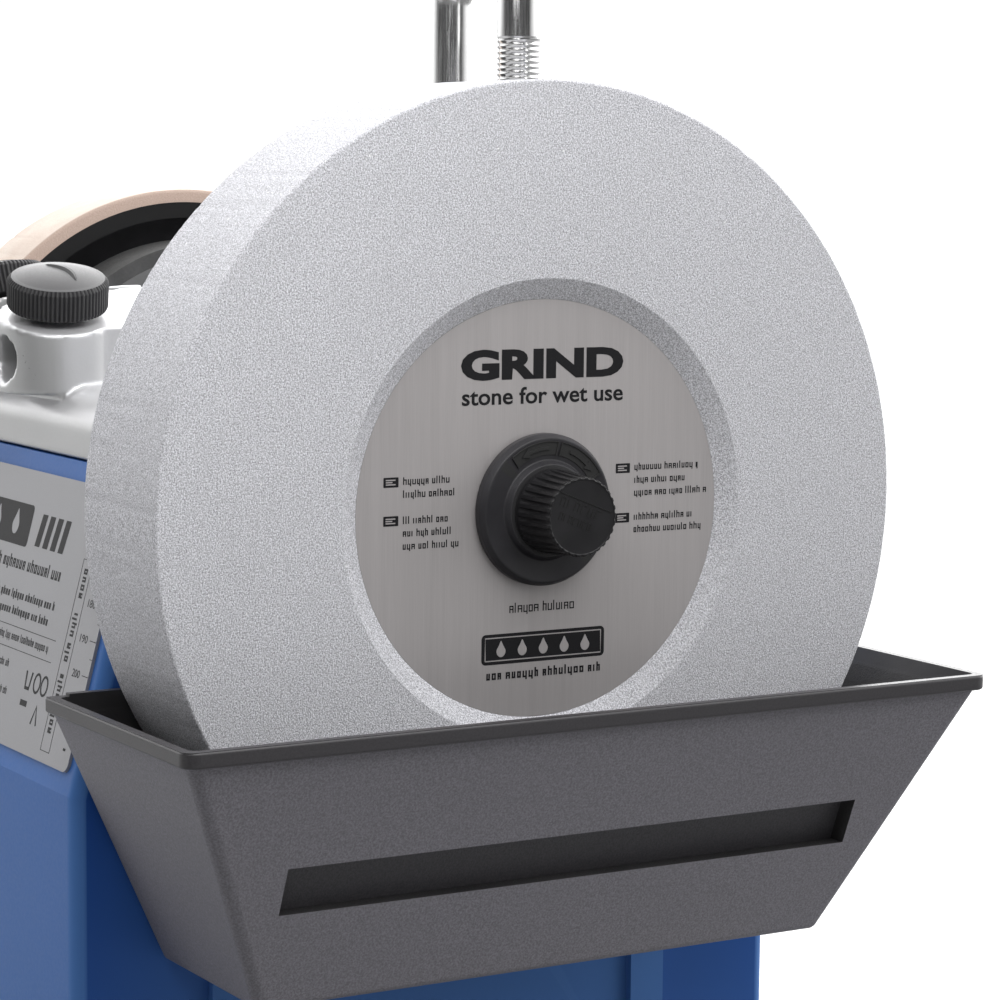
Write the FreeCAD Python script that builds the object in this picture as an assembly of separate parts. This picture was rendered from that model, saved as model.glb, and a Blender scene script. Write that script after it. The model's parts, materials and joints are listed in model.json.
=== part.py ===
import FreeCAD, Part
import math
import os

from FreeCAD import Vector

# Wet grinding sharpener: a water-cooled grindstone and a leather honing wheel on one slow shaft.
# Frame, in millimetres: +X along the shaft from the honing wheel to the grindstone, the operator
# side is -Y, +Z is up and the feet stand on z = 0. The origin lies under the middle of the machine.

# ---- driving dimensions ----
SHAFT_Z = 180.0
SHAFT_R = 6.0
SHAFT_LEFT_X = -133.0
SHAFT_RIGHT_X = 114.0
FIT = 0.05
GAP = 0.3

STONE_FACE_X = 103.0
STONE_W = 40.0
STONE_R = 100.0
RECESS_R = 54.2
DISC_R = 49.3
DISC_FACE_X = STONE_FACE_X - 3.07
DISC_T = 1.0
FLANGE_BASE_R = 18.0
FLANGE_FACE_R = 17.5
FLANGE_T = 3.4
STONE_KNOB_R = 10.0
STONE_KNOB_END_R = 9.3
STONE_KNOB_END_X = STONE_FACE_X + 15.3
STONE_KNOB_RIDGES = 30

WALL_LEFT_X = -68.0
WALL_RIGHT_X = 55.0
HOUSING_HALF_Y = 99.7
HOUSING_BOTTOM_Z = 8.0
CREASE_Z = 112.0
SEAM_Z = 187.0
SEAM_HALF_Y = 80.5
HOUSING_WALL = 3.0
SEAM_GAP = 0.4

TOP_Z = 204.0
TOP_WALL = 5.0
BEARING_BOSS_R = 18.0
BUSH_R = 9.0
BUSH_LEN = 26.0

SLEEVE_XS = {"near": -16.0, "far": -53.0}
SLEEVE_BORE_R = 6.05
FRONT_BOSS_Y = -73.7
FRONT_BOSS_R = 15.0
FRONT_BOSS_TOP_Z = 221.5
FRONT_BORE_Z = 210.5
FRONT_BOSS_UNDER_Z = 201.8
FRONT_BORE_END_Y = -34.0
FRONT_TILT_TO_FRONT = 5.0
FRONT_TILT_TO_SIDE = 16.0
REAR_BOSS_Y = 62.0
REAR_BOSS_R = 12.5
REAR_BOSS_TOP_Z = 228.0
REAR_KNOB_Z = 213.0

LOCK_KNOB_R = 12.8
LOCK_KNOB_H = 8.4
LOCK_KNOB_RIDGES = 48
LOCK_SCREW_R = 4.0

BAR_R = 6.0
BAR_Z = 319.0
BAR_GROUND_X0 = -8.0
BAR_X1 = 118.0
BAR_BACK_R = 5.7
BAR_BEND_R = 14.0
WELD_DROP = 9.0
LEG_BOTTOM_Z = 165.0
MICRO_NUT_R = 13.5
MICRO_NUT_H = 12.0

DRIVE_R = 58.0
DRIVE_TREAD = 4.0
DRIVE_X0 = -98.5
DRIVE_X1 = -80.0
HONING_R = 72.5
LEATHER_T = 3.8
HONING_X0 = -125.0
HONING_X1 = -99.0
HONING_NUT_R = 17.0
HONING_NUT_END_X = -135.0

TROUGH_X0 = 58.0
TROUGH_X1 = 135.0
TROUGH_HALF_Y = 107.5
TROUGH_RIM_TOP_Z = 137.5
TROUGH_RIM_H = 3.7
TROUGH_RIM_LIP = 1.8
TROUGH_BACK_LIP_H = 0.6
TROUGH_BACK_LIP_HALF_Y = 102.5
TROUGH_BOTTOM_Z = 71.5
TROUGH_WALL = 2.2
TROUGH_END_SLOPE = 0.455
TROUGH_FRONT_SLOPE = 0.41
GRIP_TOP_Z = 107.0
GRIP_BOTTOM_Z = 95.5
GRIP_HALF_Y = 77.2
GRIP_DEPTH = 5.0
RAIL_Y = 60.0
RAIL_HALF_W = 5.0
RAIL_T = 2.5

MOTOR_Y = 30.0
SPINDLE_R = 5.0
MOTOR_R = 43.0
MOTOR_Z = SHAFT_Z - math.sqrt((DRIVE_R + SPINDLE_R + GAP) ** 2 - MOTOR_Y ** 2)
MOTOR_X0 = -44.0
MOTOR_X1 = 10.0
PIVOT_Y = -40.0
PIVOT_Z = 98.0
PIVOT_R = 4.0

LABEL_X0 = -62.7
LABEL_X1 = 49.7
LABEL_Z0 = 117.0
LABEL_Z1 = 182.4
LABEL_T = 0.8

FOOT_R = 12.0
TOP_SCREW_XS = (-57.0, 44.0)
TOP_SCREW_Y = 24.0
FEET_XS = (-52.0, 39.0)
FEET_Y = 82.0

SWITCH_X = -34.0
SWITCH_Z = 84.0
ROCKER_AXIS_Y = HOUSING_HALF_Y - 3.0
TRUNNION_R = 1.5
GLAND_X = 22.0
GLAND_Z = 36.0

X_AXIS = Vector(1, 0, 0)
Y_AXIS = Vector(0, 1, 0)
Z_AXIS = Vector(0, 0, 1)


# ---- small helpers ----
def box(x0, x1, y0, y1, z0, z1):
    return Part.makeBox(x1 - x0, y1 - y0, z1 - z0, Vector(x0, y0, z0))


def cyl_x(x0, x1, r, y=0.0, z=SHAFT_Z):
    return Part.makeCylinder(r, x1 - x0, Vector(x0, y, z), X_AXIS)


def cyl_y(y0, y1, r, x, z):
    return Part.makeCylinder(r, y1 - y0, Vector(x, y0, z), Y_AXIS)


def cyl_z(z0, z1, r, x, y):
    return Part.makeCylinder(r, z1 - z0, Vector(x, y, z0), Z_AXIS)


def tube_x(x0, x1, r_out, r_in, y=0.0, z=SHAFT_Z):
    return cyl_x(x0, x1, r_out, y, z).cut(cyl_x(x0 - 1, x1 + 1, r_in, y, z))


def cone_x(x0, x1, r0, r1, y=0.0, z=SHAFT_Z):
    return Part.makeCone(r0, r1, x1 - x0, Vector(x0, y, z), X_AXIS)


def prism_x(points_yz, x0, x1):
    outline = [Vector(x0, y, z) for y, z in points_yz]
    face = Part.Face(Part.makePolygon(outline + outline[:1]))
    return face.extrude(Vector(x1 - x0, 0, 0))


def fuse_all(shapes):
    result = shapes[0]
    for shape in shapes[1:]:
        result = result.fuse(shape)
    return result.removeSplitter()


def fillet_where(shape, radius, wanted):
    """Round the edges whose middle point and direction pass the test."""
    chosen = []
    for edge in shape.Edges:
        first, last = edge.ParameterRange
        middle = edge.valueAt((first + last) / 2)
        direction = edge.tangentAt((first + last) / 2)
        if wanted(middle, direction):
            chosen.append(edge)
    return shape.makeFillet(radius, chosen)


def ring_of_cuts(shape, count, cutter, centre, axis):
    """Cut the same tool out of a shape, evenly spaced round an axis."""
    tools = []
    for index in range(count):
        tool = cutter.copy()
        tool.rotate(centre, axis, 360.0 * index / count)
        tools.append(tool)
    return shape.cut(Part.makeCompound(tools))


def tilted(shape, centre, to_front_deg, to_side_deg):
    """Lean a shape towards the operator and sideways about a point."""
    shape.rotate(centre, X_AXIS, to_front_deg)
    shape.rotate(centre, Y_AXIS, to_side_deg)
    return shape


def housing_front_y(z):
    """Half depth of the housing at a height: upright below the crease, leaning in above it."""
    if z <= CREASE_Z:
        return HOUSING_HALF_Y
    slope = (HOUSING_HALF_Y - SEAM_HALF_Y) / (SEAM_Z - CREASE_Z)
    return HOUSING_HALF_Y - slope * (z - CREASE_Z)


# ---- grindstone group ----
def make_grindstone():
    stone = cyl_x(STONE_FACE_X - STONE_W, STONE_FACE_X, STONE_R)
    stone = fillet_where(stone, 0.6, lambda p, d: abs(d.x) < 0.5)
    recess = cone_x(DISC_FACE_X, STONE_FACE_X + 0.001, DISC_R, RECESS_R)
    seat = cyl_x(DISC_FACE_X - DISC_T, DISC_FACE_X + 0.5, DISC_R)
    bore = cyl_x(STONE_FACE_X - STONE_W - 1, STONE_FACE_X, SHAFT_R + FIT)
    return stone.cut(recess).cut(seat).cut(bore)


def make_label_disc():
    return tube_x(DISC_FACE_X - DISC_T, DISC_FACE_X, DISC_R - 0.06, SHAFT_R + FIT)


def make_stone_lock_flange():
    base = cone_x(DISC_FACE_X, DISC_FACE_X + FLANGE_T, FLANGE_BASE_R, FLANGE_FACE_R)
    base = fillet_where(base, 0.5, lambda p, d: p.x > DISC_FACE_X + 1 and abs(d.x) < 0.5)
    dish = cone_x(DISC_FACE_X + FLANGE_T - 0.8, DISC_FACE_X + FLANGE_T, 13.0, 16.6)
    neck = cyl_x(DISC_FACE_X, DISC_FACE_X + FLANGE_T + 1.2, 12.0)
    bore = cyl_x(DISC_FACE_X - 1, DISC_FACE_X + 8, SHAFT_R + FIT)
    return base.cut(dish).fuse(neck).cut(bore).removeSplitter()


def make_stone_lock_knob():
    base_x = DISC_FACE_X + FLANGE_T + 1.2 + GAP
    knob = cone_x(base_x, STONE_KNOB_END_X, STONE_KNOB_R, STONE_KNOB_END_R)
    knob = fillet_where(knob, 0.7, lambda p, d: p.x > base_x + 1 and abs(d.x) < 0.5)
    groove = cyl_x(base_x + 1.2, STONE_KNOB_END_X + 1, 0.55, STONE_KNOB_R + 0.15, SHAFT_Z)
    knob = ring_of_cuts(knob, STONE_KNOB_RIDGES, groove, Vector(0, 0, SHAFT_Z), X_AXIS)
    bore = cyl_x(base_x - 1, SHAFT_RIGHT_X + 0.5, SHAFT_R + FIT)
    return knob.cut(bore)


def make_stone_inner_flange():
    plate = cyl_x(STONE_FACE_X - STONE_W - 3, STONE_FACE_X - STONE_W, 22.0)
    hub = cyl_x(WALL_RIGHT_X + 0.1, STONE_FACE_X - STONE_W - 3, 10.0)
    bore = cyl_x(WALL_RIGHT_X - 3, STONE_FACE_X, SHAFT_R + FIT)
    return plate.fuse(hub).cut(bore)


def make_main_shaft():
    shaft = cyl_x(SHAFT_LEFT_X, SHAFT_RIGHT_X, SHAFT_R)
    return shaft.makeChamfer(0.8, [e for e in shaft.Edges if abs(e.tangentAt(e.FirstParameter).x) < 0.5])


def make_bush(x0):
    bush = tube_x(x0, x0 + BUSH_LEN, BUSH_R, SHAFT_R + FIT)
    collar = tube_x(x0 - 1.2, x0, BUSH_R + 2.5, SHAFT_R + FIT)
    if x0 > 0:
        collar = tube_x(x0 + BUSH_LEN, x0 + BUSH_LEN + 1.2, BUSH_R + 2.5, SHAFT_R + FIT)
    return bush.fuse(collar).removeSplitter()


# ---- honing and drive wheels ----
def make_drive_wheel_hub():
    rim = tube_x(DRIVE_X0, DRIVE_X1, DRIVE_R - DRIVE_TREAD, DRIVE_R - DRIVE_TREAD - 5)
    web = cyl_x(DRIVE_X0 + 5, DRIVE_X0 + 9, DRIVE_R - DRIVE_TREAD - 4)
    hub = cyl_x(DRIVE_X0, WALL_LEFT_X - GAP, 14.0)
    wheel = fuse_all([rim, web, hub])
    hole = cyl_x(DRIVE_X0, DRIVE_X1, 8.0, 31.0, SHAFT_Z)
    wheel = ring_of_cuts(wheel, 6, hole, Vector(0, 0, SHAFT_Z), X_AXIS)
    return wheel.cut(cyl_x(DRIVE_X0 - 1, WALL_LEFT_X, SHAFT_R + FIT))


def make_drive_wheel_tread():
    return tube_x(DRIVE_X0, DRIVE_X1, DRIVE_R, DRIVE_R - DRIVE_TREAD + 0.02)


def make_honing_wheel_body():
    radius = HONING_R - LEATHER_T
    body = cyl_x(HONING_X0, HONING_X1, radius)
    inner_recess = cyl_x(HONING_X1 - 8, HONING_X1 + 1, radius - 4.5)
    inner_ring = tube_x(HONING_X1 - 8, HONING_X1 - 1.5, 46.0, 42.0)
    outer_recess = cone_x(HONING_X0 - 0.01, HONING_X0 + 9, radius - 4, radius - 7)
    outer_hub = cone_x(HONING_X0, HONING_X0 + 9.5, 22.0, 24.0)
    hub = cyl_x(HONING_X1 - 9, HONING_X1, 16.0)
    body = body.cut(inner_recess).cut(outer_recess)
    body = fuse_all([body, inner_ring, outer_hub, hub])
    hole = cyl_x(HONING_X0, HONING_X1, 9.0, 43.0 - 8.0, SHAFT_Z)
    body = ring_of_cuts(body, 5, hole, Vector(0, 0, SHAFT_Z), X_AXIS)
    return body.cut(cyl_x(HONING_X0 - 1, HONING_X1 + 1, SHAFT_R + FIT))


def make_honing_leather():
    band = tube_x(HONING_X0, HONING_X1, HONING_R, HONING_R - LEATHER_T + 0.02)
    return fillet_where(band, 0.9, lambda p, d: abs(d.x) < 0.5 and abs(p.sub(
        Vector(p.x, 0, SHAFT_Z)).Length - HONING_R) < 0.1)


def make_honing_nut():
    start_x = HONING_X0 - GAP
    nut = cyl_x(HONING_NUT_END_X, start_x, HONING_NUT_R)
    nut = fillet_where(nut, 1.0, lambda p, d: p.x < start_x - 1 and abs(d.x) < 0.5)
    scallop = cyl_x(HONING_NUT_END_X - 1, start_x + 1, 4.0, HONING_NUT_R + 2.4, SHAFT_Z)
    nut = ring_of_cuts(nut, 8, scallop, Vector(0, 0, SHAFT_Z), X_AXIS)
    return nut.cut(cyl_x(SHAFT_LEFT_X - 0.4, start_x + 1, SHAFT_R + FIT))


# ---- cast top with the four sleeves ----
def make_boss_block(x):
    pillar = cyl_z(FRONT_BOSS_UNDER_Z, FRONT_BOSS_TOP_Z + 6, FRONT_BOSS_R, x, FRONT_BOSS_Y)
    body = box(x - 13, x + 13, FRONT_BOSS_Y, FRONT_BORE_END_Y + 6, FRONT_BOSS_UNDER_Z,
               FRONT_BOSS_TOP_Z + 6)
    body = body.fuse(box(x - 13, x + 13, -SEAM_HALF_Y + 8, FRONT_BORE_END_Y + 6, SEAM_Z + 9, TOP_Z))
    block = pillar.fuse(body)
    side_sign = 1 if x > -35 else -1
    lid = box(x - 40, x + 40, FRONT_BOSS_Y - 40, FRONT_BOSS_Y + 60, FRONT_BOSS_TOP_Z, FRONT_BOSS_TOP_Z + 30)
    centre = Vector(x, FRONT_BOSS_Y, FRONT_BOSS_TOP_Z)
    block = block.cut(tilted(lid, centre, FRONT_TILT_TO_FRONT, FRONT_TILT_TO_SIDE * side_sign))
    back_ramp = box(x - 40, x + 40, 0, 60, 0, 60)
    back_ramp.rotate(Vector(0, 0, 0), X_AXIS, -40)
    back_ramp.translate(Vector(0, FRONT_BORE_END_Y - 7, FRONT_BOSS_TOP_Z + 4))
    block = block.cut(back_ramp).removeSplitter()
    return block


def make_front_screw_hole(x):
    side_sign = 1 if x > -35 else -1
    centre = Vector(x, FRONT_BOSS_Y, FRONT_BOSS_TOP_Z)
    hole = cyl_z(FRONT_BORE_Z - 2, FRONT_BOSS_TOP_Z + 8, LOCK_SCREW_R + FIT, x, FRONT_BOSS_Y)
    return tilted(hole, centre, FRONT_TILT_TO_FRONT, FRONT_TILT_TO_SIDE * side_sign)


def make_cast_top():
    shell = box(WALL_LEFT_X, WALL_RIGHT_X, -SEAM_HALF_Y, SEAM_HALF_Y, SEAM_Z + SEAM_GAP, TOP_Z)
    shell = fillet_where(shell, 6.0, lambda p, d: abs(d.z) > 0.9)
    shell = fillet_where(shell, 5.0, lambda p, d: p.z > TOP_Z - 0.1)
    front_round = fillet_where(
        box(WALL_LEFT_X - 5, WALL_RIGHT_X + 5, -SEAM_HALF_Y, SEAM_HALF_Y, SEAM_Z - 30, TOP_Z),
        10.0, lambda p, d: p.z > TOP_Z - 0.1 and abs(d.x) > 0.9)
    shell = shell.common(front_round)
    hollow = box(WALL_LEFT_X + TOP_WALL, WALL_RIGHT_X - TOP_WALL, -SEAM_HALF_Y + 8, SEAM_HALF_Y - 8,
                 SEAM_Z - 5, TOP_Z - TOP_WALL)
    shell = shell.cut(hollow)
    pieces = [shell]
    for x0, x1 in ((WALL_LEFT_X + 1.5, WALL_LEFT_X + 1.5 + BUSH_LEN), (WALL_RIGHT_X - 1.5 - BUSH_LEN,
                                                                      WALL_RIGHT_X - 1.5)):
        pieces.append(cyl_x(x0, x1, BEARING_BOSS_R))
        pieces.append(box(x0, x1, -BEARING_BOSS_R, BEARING_BOSS_R, SHAFT_Z, TOP_Z - 2))
    for x in SLEEVE_XS.values():
        pieces.append(make_boss_block(x))
        pieces.append(cyl_z(SEAM_Z + 9, REAR_BOSS_TOP_Z, REAR_BOSS_R, x, REAR_BOSS_Y))
        pieces.append(cyl_y(REAR_BOSS_Y, REAR_BOSS_Y + REAR_BOSS_R + 2, 8.0, x, REAR_KNOB_Z))
    casting = fuse_all(pieces)
    casting = casting.cut(cyl_x(WALL_LEFT_X - 5, WALL_RIGHT_X + 5, BUSH_R + 0.01))
    casting = casting.cut(cyl_x(WALL_LEFT_X - 5, WALL_LEFT_X + 1.5, BUSH_R + 3.0))
    casting = casting.cut(cyl_x(WALL_RIGHT_X - 1.5, WALL_RIGHT_X + 5, BUSH_R + 3.0))
    for x in TOP_SCREW_XS:
        for y in (-TOP_SCREW_Y, TOP_SCREW_Y):
            casting = casting.cut(cyl_z(SEAM_Z, TOP_Z + 1, 2.2, x, y))
            casting = casting.cut(cyl_z(TOP_Z - 3.4, TOP_Z + 1, 4.0, x, y))
    for x in SLEEVE_XS.values():
        casting = casting.cut(cyl_y(-120, FRONT_BORE_END_Y, SLEEVE_BORE_R, x, FRONT_BORE_Z))
        casting = casting.cut(make_front_screw_hole(x))
        casting = casting.cut(cyl_z(SEAM_Z - 5, REAR_BOSS_TOP_Z + 5, SLEEVE_BORE_R, x, REAR_BOSS_Y))
        casting = casting.cut(cyl_y(REAR_BOSS_Y, REAR_BOSS_Y + 30, LOCK_SCREW_R + FIT, x, REAR_KNOB_Z))
    return casting


# ---- knobs ----
def make_lock_knob():
    """Knurled clamp knob standing on the origin, axis up."""
    knob = cyl_z(0, LOCK_KNOB_H, LOCK_KNOB_R, 0, 0)
    dome = Part.makeSphere(46.0, Vector(0, 0, LOCK_KNOB_H - 46.0 + 1.6))
    knob = knob.common(dome)
    knob = fillet_where(
        knob, 0.8, lambda p, d: p.z > LOCK_KNOB_H - 3 and abs(d.z) < 0.5 and math.hypot(p.x, p.y) > 10)
    groove = cyl_z(-1, LOCK_KNOB_H + 2, 0.5, LOCK_KNOB_R + 0.2, 0)
    knob = ring_of_cuts(knob, LOCK_KNOB_RIDGES, groove, Vector(0, 0, 0), Z_AXIS)
    collar = cyl_z(-1.6, 0, 7.0, 0, 0)
    knob = knob.fuse(collar)
    return knob.cut(cyl_z(-3, 6.0, LOCK_SCREW_R, 0, 0)).removeSplitter()


def make_lock_screw(length):
    screw = cyl_z(-length, 6.0, LOCK_SCREW_R - 0.02, 0, 0)
    return screw.makeChamfer(0.7, [e for e in screw.Edges if abs(e.tangentAt(e.FirstParameter).z) < 0.5])


def place_front(shape, x):
    side_sign = 1 if x > -35 else -1
    centre = Vector(x, FRONT_BOSS_Y, FRONT_BOSS_TOP_Z)
    shape.translate(centre + Vector(0, 0, 1.6 + GAP))
    return tilted(shape, centre, FRONT_TILT_TO_FRONT, FRONT_TILT_TO_SIDE * side_sign)


def place_rear(shape, x):
    shape.rotate(Vector(0, 0, 0), X_AXIS, -90)
    shape.translate(Vector(x, REAR_BOSS_Y + REAR_BOSS_R + 2 + 1.6 + GAP, REAR_KNOB_Z))
    return shape


# ---- support bar ----
def make_support_bar():
    """Rod bent down into the far leg, with the near leg welded under it and its free end ground."""
    far_x = SLEEVE_XS["far"]
    near_x = SLEEVE_XS["near"]
    bend_x = far_x + BAR_BEND_R
    bend_z = BAR_Z - BAR_BEND_R
    free_end = cyl_x(BAR_GROUND_X0, BAR_X1, BAR_R, REAR_BOSS_Y, BAR_Z)
    free_end = free_end.makeChamfer(0.8, [e for e in free_end.Edges if e.BoundBox.XMin > BAR_X1 - 0.1])
    back = cyl_x(bend_x, BAR_GROUND_X0, BAR_BACK_R, REAR_BOSS_Y, BAR_Z)
    bend = Part.makeTorus(BAR_BEND_R, BAR_BACK_R, Vector(bend_x, REAR_BOSS_Y, bend_z), Y_AXIS)
    corner = box(far_x - BAR_R - 1, bend_x, REAR_BOSS_Y - 10, REAR_BOSS_Y + 10, bend_z, BAR_Z + BAR_R + 1)
    bend = bend.common(corner)
    far_leg = cyl_z(LEG_BOTTOM_Z, bend_z, BAR_R, far_x, REAR_BOSS_Y)
    near_leg = cyl_z(LEG_BOTTOM_Z, BAR_Z, BAR_BACK_R, near_x, REAR_BOSS_Y)
    near_sleeved = cyl_z(LEG_BOTTOM_Z, BAR_Z - WELD_DROP, BAR_R, near_x, REAR_BOSS_Y)
    weld_foot = Vector(near_x, REAR_BOSS_Y, BAR_Z - WELD_DROP)
    weld = Part.makeCone(BAR_R, BAR_R + 1.6, WELD_DROP - 3, weld_foot, Z_AXIS)
    weld = weld.common(box(near_x - 12, near_x + 12, REAR_BOSS_Y - BAR_BACK_R, REAR_BOSS_Y + BAR_BACK_R,
                           BAR_Z - 20, BAR_Z))
    return fuse_all([free_end, back, bend, far_leg, near_leg, near_sleeved, weld])


def make_micro_nut():
    x = SLEEVE_XS["near"]
    z0 = REAR_BOSS_TOP_Z + GAP
    nut = cyl_z(z0, z0 + MICRO_NUT_H, MICRO_NUT_R, x, REAR_BOSS_Y)
    nut = fillet_where(nut, 0.8, lambda p, d: abs(d.z) < 0.5)
    groove = cyl_z(z0 - 1, z0 + MICRO_NUT_H + 1, 1.0, x + MICRO_NUT_R + 0.4, REAR_BOSS_Y)
    nut = ring_of_cuts(nut, 24, groove, Vector(x, REAR_BOSS_Y, 0), Z_AXIS)
    return nut.cut(cyl_z(z0 - 1, z0 + MICRO_NUT_H + 1, BAR_R + FIT, x, REAR_BOSS_Y))


# ---- housing ----
def housing_outline(inset):
    """Closed outline of the housing in the YZ plane, moved in by a wall thickness."""
    lower = HOUSING_HALF_Y - inset
    upper = SEAM_HALF_Y - inset * 1.03
    bottom = HOUSING_BOTTOM_Z - (1 if inset else 0)
    top = SEAM_Z + (1 if inset else 0)
    return [(-lower, bottom), (-lower, CREASE_Z), (-upper, top),
            (upper, top), (lower, CREASE_Z), (lower, bottom)]


def make_housing():
    shell = prism_x(housing_outline(0), WALL_LEFT_X, WALL_RIGHT_X)
    shell = fillet_where(shell, 3.5, lambda p, d: abs(d.x) < 0.3 and HOUSING_BOTTOM_Z + 1 < p.z < SEAM_Z - 1)
    cavity = prism_x(housing_outline(HOUSING_WALL), WALL_LEFT_X + HOUSING_WALL, WALL_RIGHT_X - HOUSING_WALL)
    shell = shell.cut(cavity)
    for x0, x1 in ((WALL_LEFT_X - 1, WALL_LEFT_X + 30), (WALL_RIGHT_X - 30, WALL_RIGHT_X + 1)):
        slot = cyl_x(x0, x1, BEARING_BOSS_R + 0.5)
        slot = slot.fuse(box(x0, x1, -BEARING_BOSS_R - 0.5, BEARING_BOSS_R + 0.5, SHAFT_Z, SEAM_Z + 5))
        shell = shell.cut(slot)
    shell = shell.cut(cyl_x(WALL_LEFT_X - 1, WALL_LEFT_X + 10, 13.0, MOTOR_Y, MOTOR_Z - 2))
    shell = shell.cut(cyl_x(WALL_RIGHT_X - 5, WALL_RIGHT_X + 1, 10.0, 0, 110))
    shell = shell.cut(box(SWITCH_X - 13.2, SWITCH_X + 13.2, 90, 110, SWITCH_Z - 10.2, SWITCH_Z + 10.2))
    shell = shell.cut(cyl_y(90, 110, 7.05, GLAND_X, GLAND_Z))
    posts = []
    for x in FEET_XS:
        for y in (-FEET_Y, FEET_Y):
            post = cyl_z(HOUSING_BOTTOM_Z + 3, 40, 6.0, x, y)
            posts.append(post)
            sign = 1 if y > 0 else -1
            y_wall = sign * (HOUSING_HALF_Y - HOUSING_WALL / 2)
            posts.append(box(x - 1.5, x + 1.5, min(y, y_wall), max(y, y_wall), HOUSING_BOTTOM_Z + 3, 38))
    rails = []
    for sign in (-1, 1):
        y = sign * RAIL_Y
        rails.append(box(WALL_RIGHT_X - 1, WALL_RIGHT_X + RAIL_T, y - RAIL_HALF_W, y + RAIL_HALF_W, 20, 126))
    lugs = []
    for x in TOP_SCREW_XS:
        wall_x = WALL_LEFT_X + 1 if x < 0 else WALL_RIGHT_X - 1
        lug_x = x + 7 if x < 0 else x - 7
        for y in (-TOP_SCREW_Y, TOP_SCREW_Y):
            lugs.append(box(min(wall_x, lug_x), max(wall_x, lug_x), y - 5, y + 5, 164, SEAM_Z - 1))
    shell = fuse_all([shell] + posts + rails + lugs)
    for x in TOP_SCREW_XS:
        for y in (-TOP_SCREW_Y, TOP_SCREW_Y):
            shell = shell.cut(cyl_z(160, SEAM_Z + 1, 2.0, x, y))
    for x in FEET_XS:
        for y in (-FEET_Y, FEET_Y):
            shell = shell.cut(cyl_z(0, 32, 1.9, x, y))
    return shell


def make_vent_slots():
    """Row of slots through the rear wall beside the switch, for the motor's cooling air."""
    slots = []
    for index in range(6):
        x = 4.0 + index * 7.0
        slots.append(box(x, x + 3.0, 90, 110, 74, 104))
    return Part.makeCompound(slots)


def make_base_plate():
    plate = box(WALL_LEFT_X + HOUSING_WALL + 0.3, WALL_RIGHT_X - HOUSING_WALL - 0.3,
                -HOUSING_HALF_Y + HOUSING_WALL + 0.3, HOUSING_HALF_Y - HOUSING_WALL - 0.3,
                HOUSING_BOTTOM_Z, HOUSING_BOTTOM_Z + 3)
    for x in FEET_XS:
        for y in (-FEET_Y, FEET_Y):
            plate = plate.cut(cyl_z(0, 20, 2.3, x, y))
    return plate


def make_rubber_feet():
    feet = []
    for x in FEET_XS:
        for y in (-FEET_Y, FEET_Y):
            foot = Part.makeCone(FOOT_R, FOOT_R - 1.5, HOUSING_BOTTOM_Z, Vector(x, y, 0), Z_AXIS)
            foot = foot.cut(cyl_z(-1, 3.5, 5.0, x, y)).cut(cyl_z(0, 20, 2.3, x, y))
            feet.append(foot)
    return Part.makeCompound(feet)


def make_foot_screws():
    screws = []
    for x in FEET_XS:
        for y in (-FEET_Y, FEET_Y):
            head = cyl_z(1.0, 3.5, 4.0, x, y)
            shank = cyl_z(3.0, 24, 1.88, x, y)
            screws.append(head.fuse(shank).removeSplitter())
    return Part.makeCompound(screws)


def make_top_screws():
    screws = []
    for x in TOP_SCREW_XS:
        for y in (-TOP_SCREW_Y, TOP_SCREW_Y):
            head = cyl_z(TOP_Z - 3.4, TOP_Z - 0.8, 3.8, x, y)
            socket = cyl_z(TOP_Z - 2.4, TOP_Z, 1.7, x, y)
            shank = cyl_z(TOP_Z - 32, TOP_Z - 3.0, 2.0, x, y)
            screws.append(head.fuse(shank).cut(socket).removeSplitter())
    return Part.makeCompound(screws)


def make_label_plate():
    """Thin plate on the leaning front face of the housing."""
    lean = math.degrees(math.atan2(HOUSING_HALF_Y - SEAM_HALF_Y, SEAM_Z - CREASE_Z))
    height = (LABEL_Z1 - LABEL_Z0) / math.cos(math.radians(lean))
    plate = box(LABEL_X0, LABEL_X1, -LABEL_T, 0, 0, height)
    plate = fillet_where(plate, 2.5, lambda p, d: abs(d.y) > 0.9)
    plate.rotate(Vector(0, 0, 0), X_AXIS, -lean)
    plate.translate(Vector(0, -housing_front_y(LABEL_Z0), LABEL_Z0))
    return plate


# ---- water trough ----
def trough_outline(z, inset):
    """Corner points of the trough's outer wall at a height, moved in by a wall thickness."""
    depth = TROUGH_RIM_TOP_Z - TROUGH_RIM_H - z
    half_y = TROUGH_HALF_Y - TROUGH_RIM_LIP - TROUGH_END_SLOPE * depth - inset
    x_front = TROUGH_X1 - TROUGH_RIM_LIP - TROUGH_FRONT_SLOPE * depth - inset
    x_back = TROUGH_X0 + inset
    return [Vector(x_back, -half_y, z), Vector(x_front, -half_y, z), Vector(x_front, half_y, z),
            Vector(x_back, half_y, z)]


def trough_loft(z0, z1, inset):
    wires = []
    for z in (z0, z1):
        corners = trough_outline(z, inset)
        wires.append(Part.makePolygon(corners + corners[:1]))
    return Part.makeLoft(wires, True, True)


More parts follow.
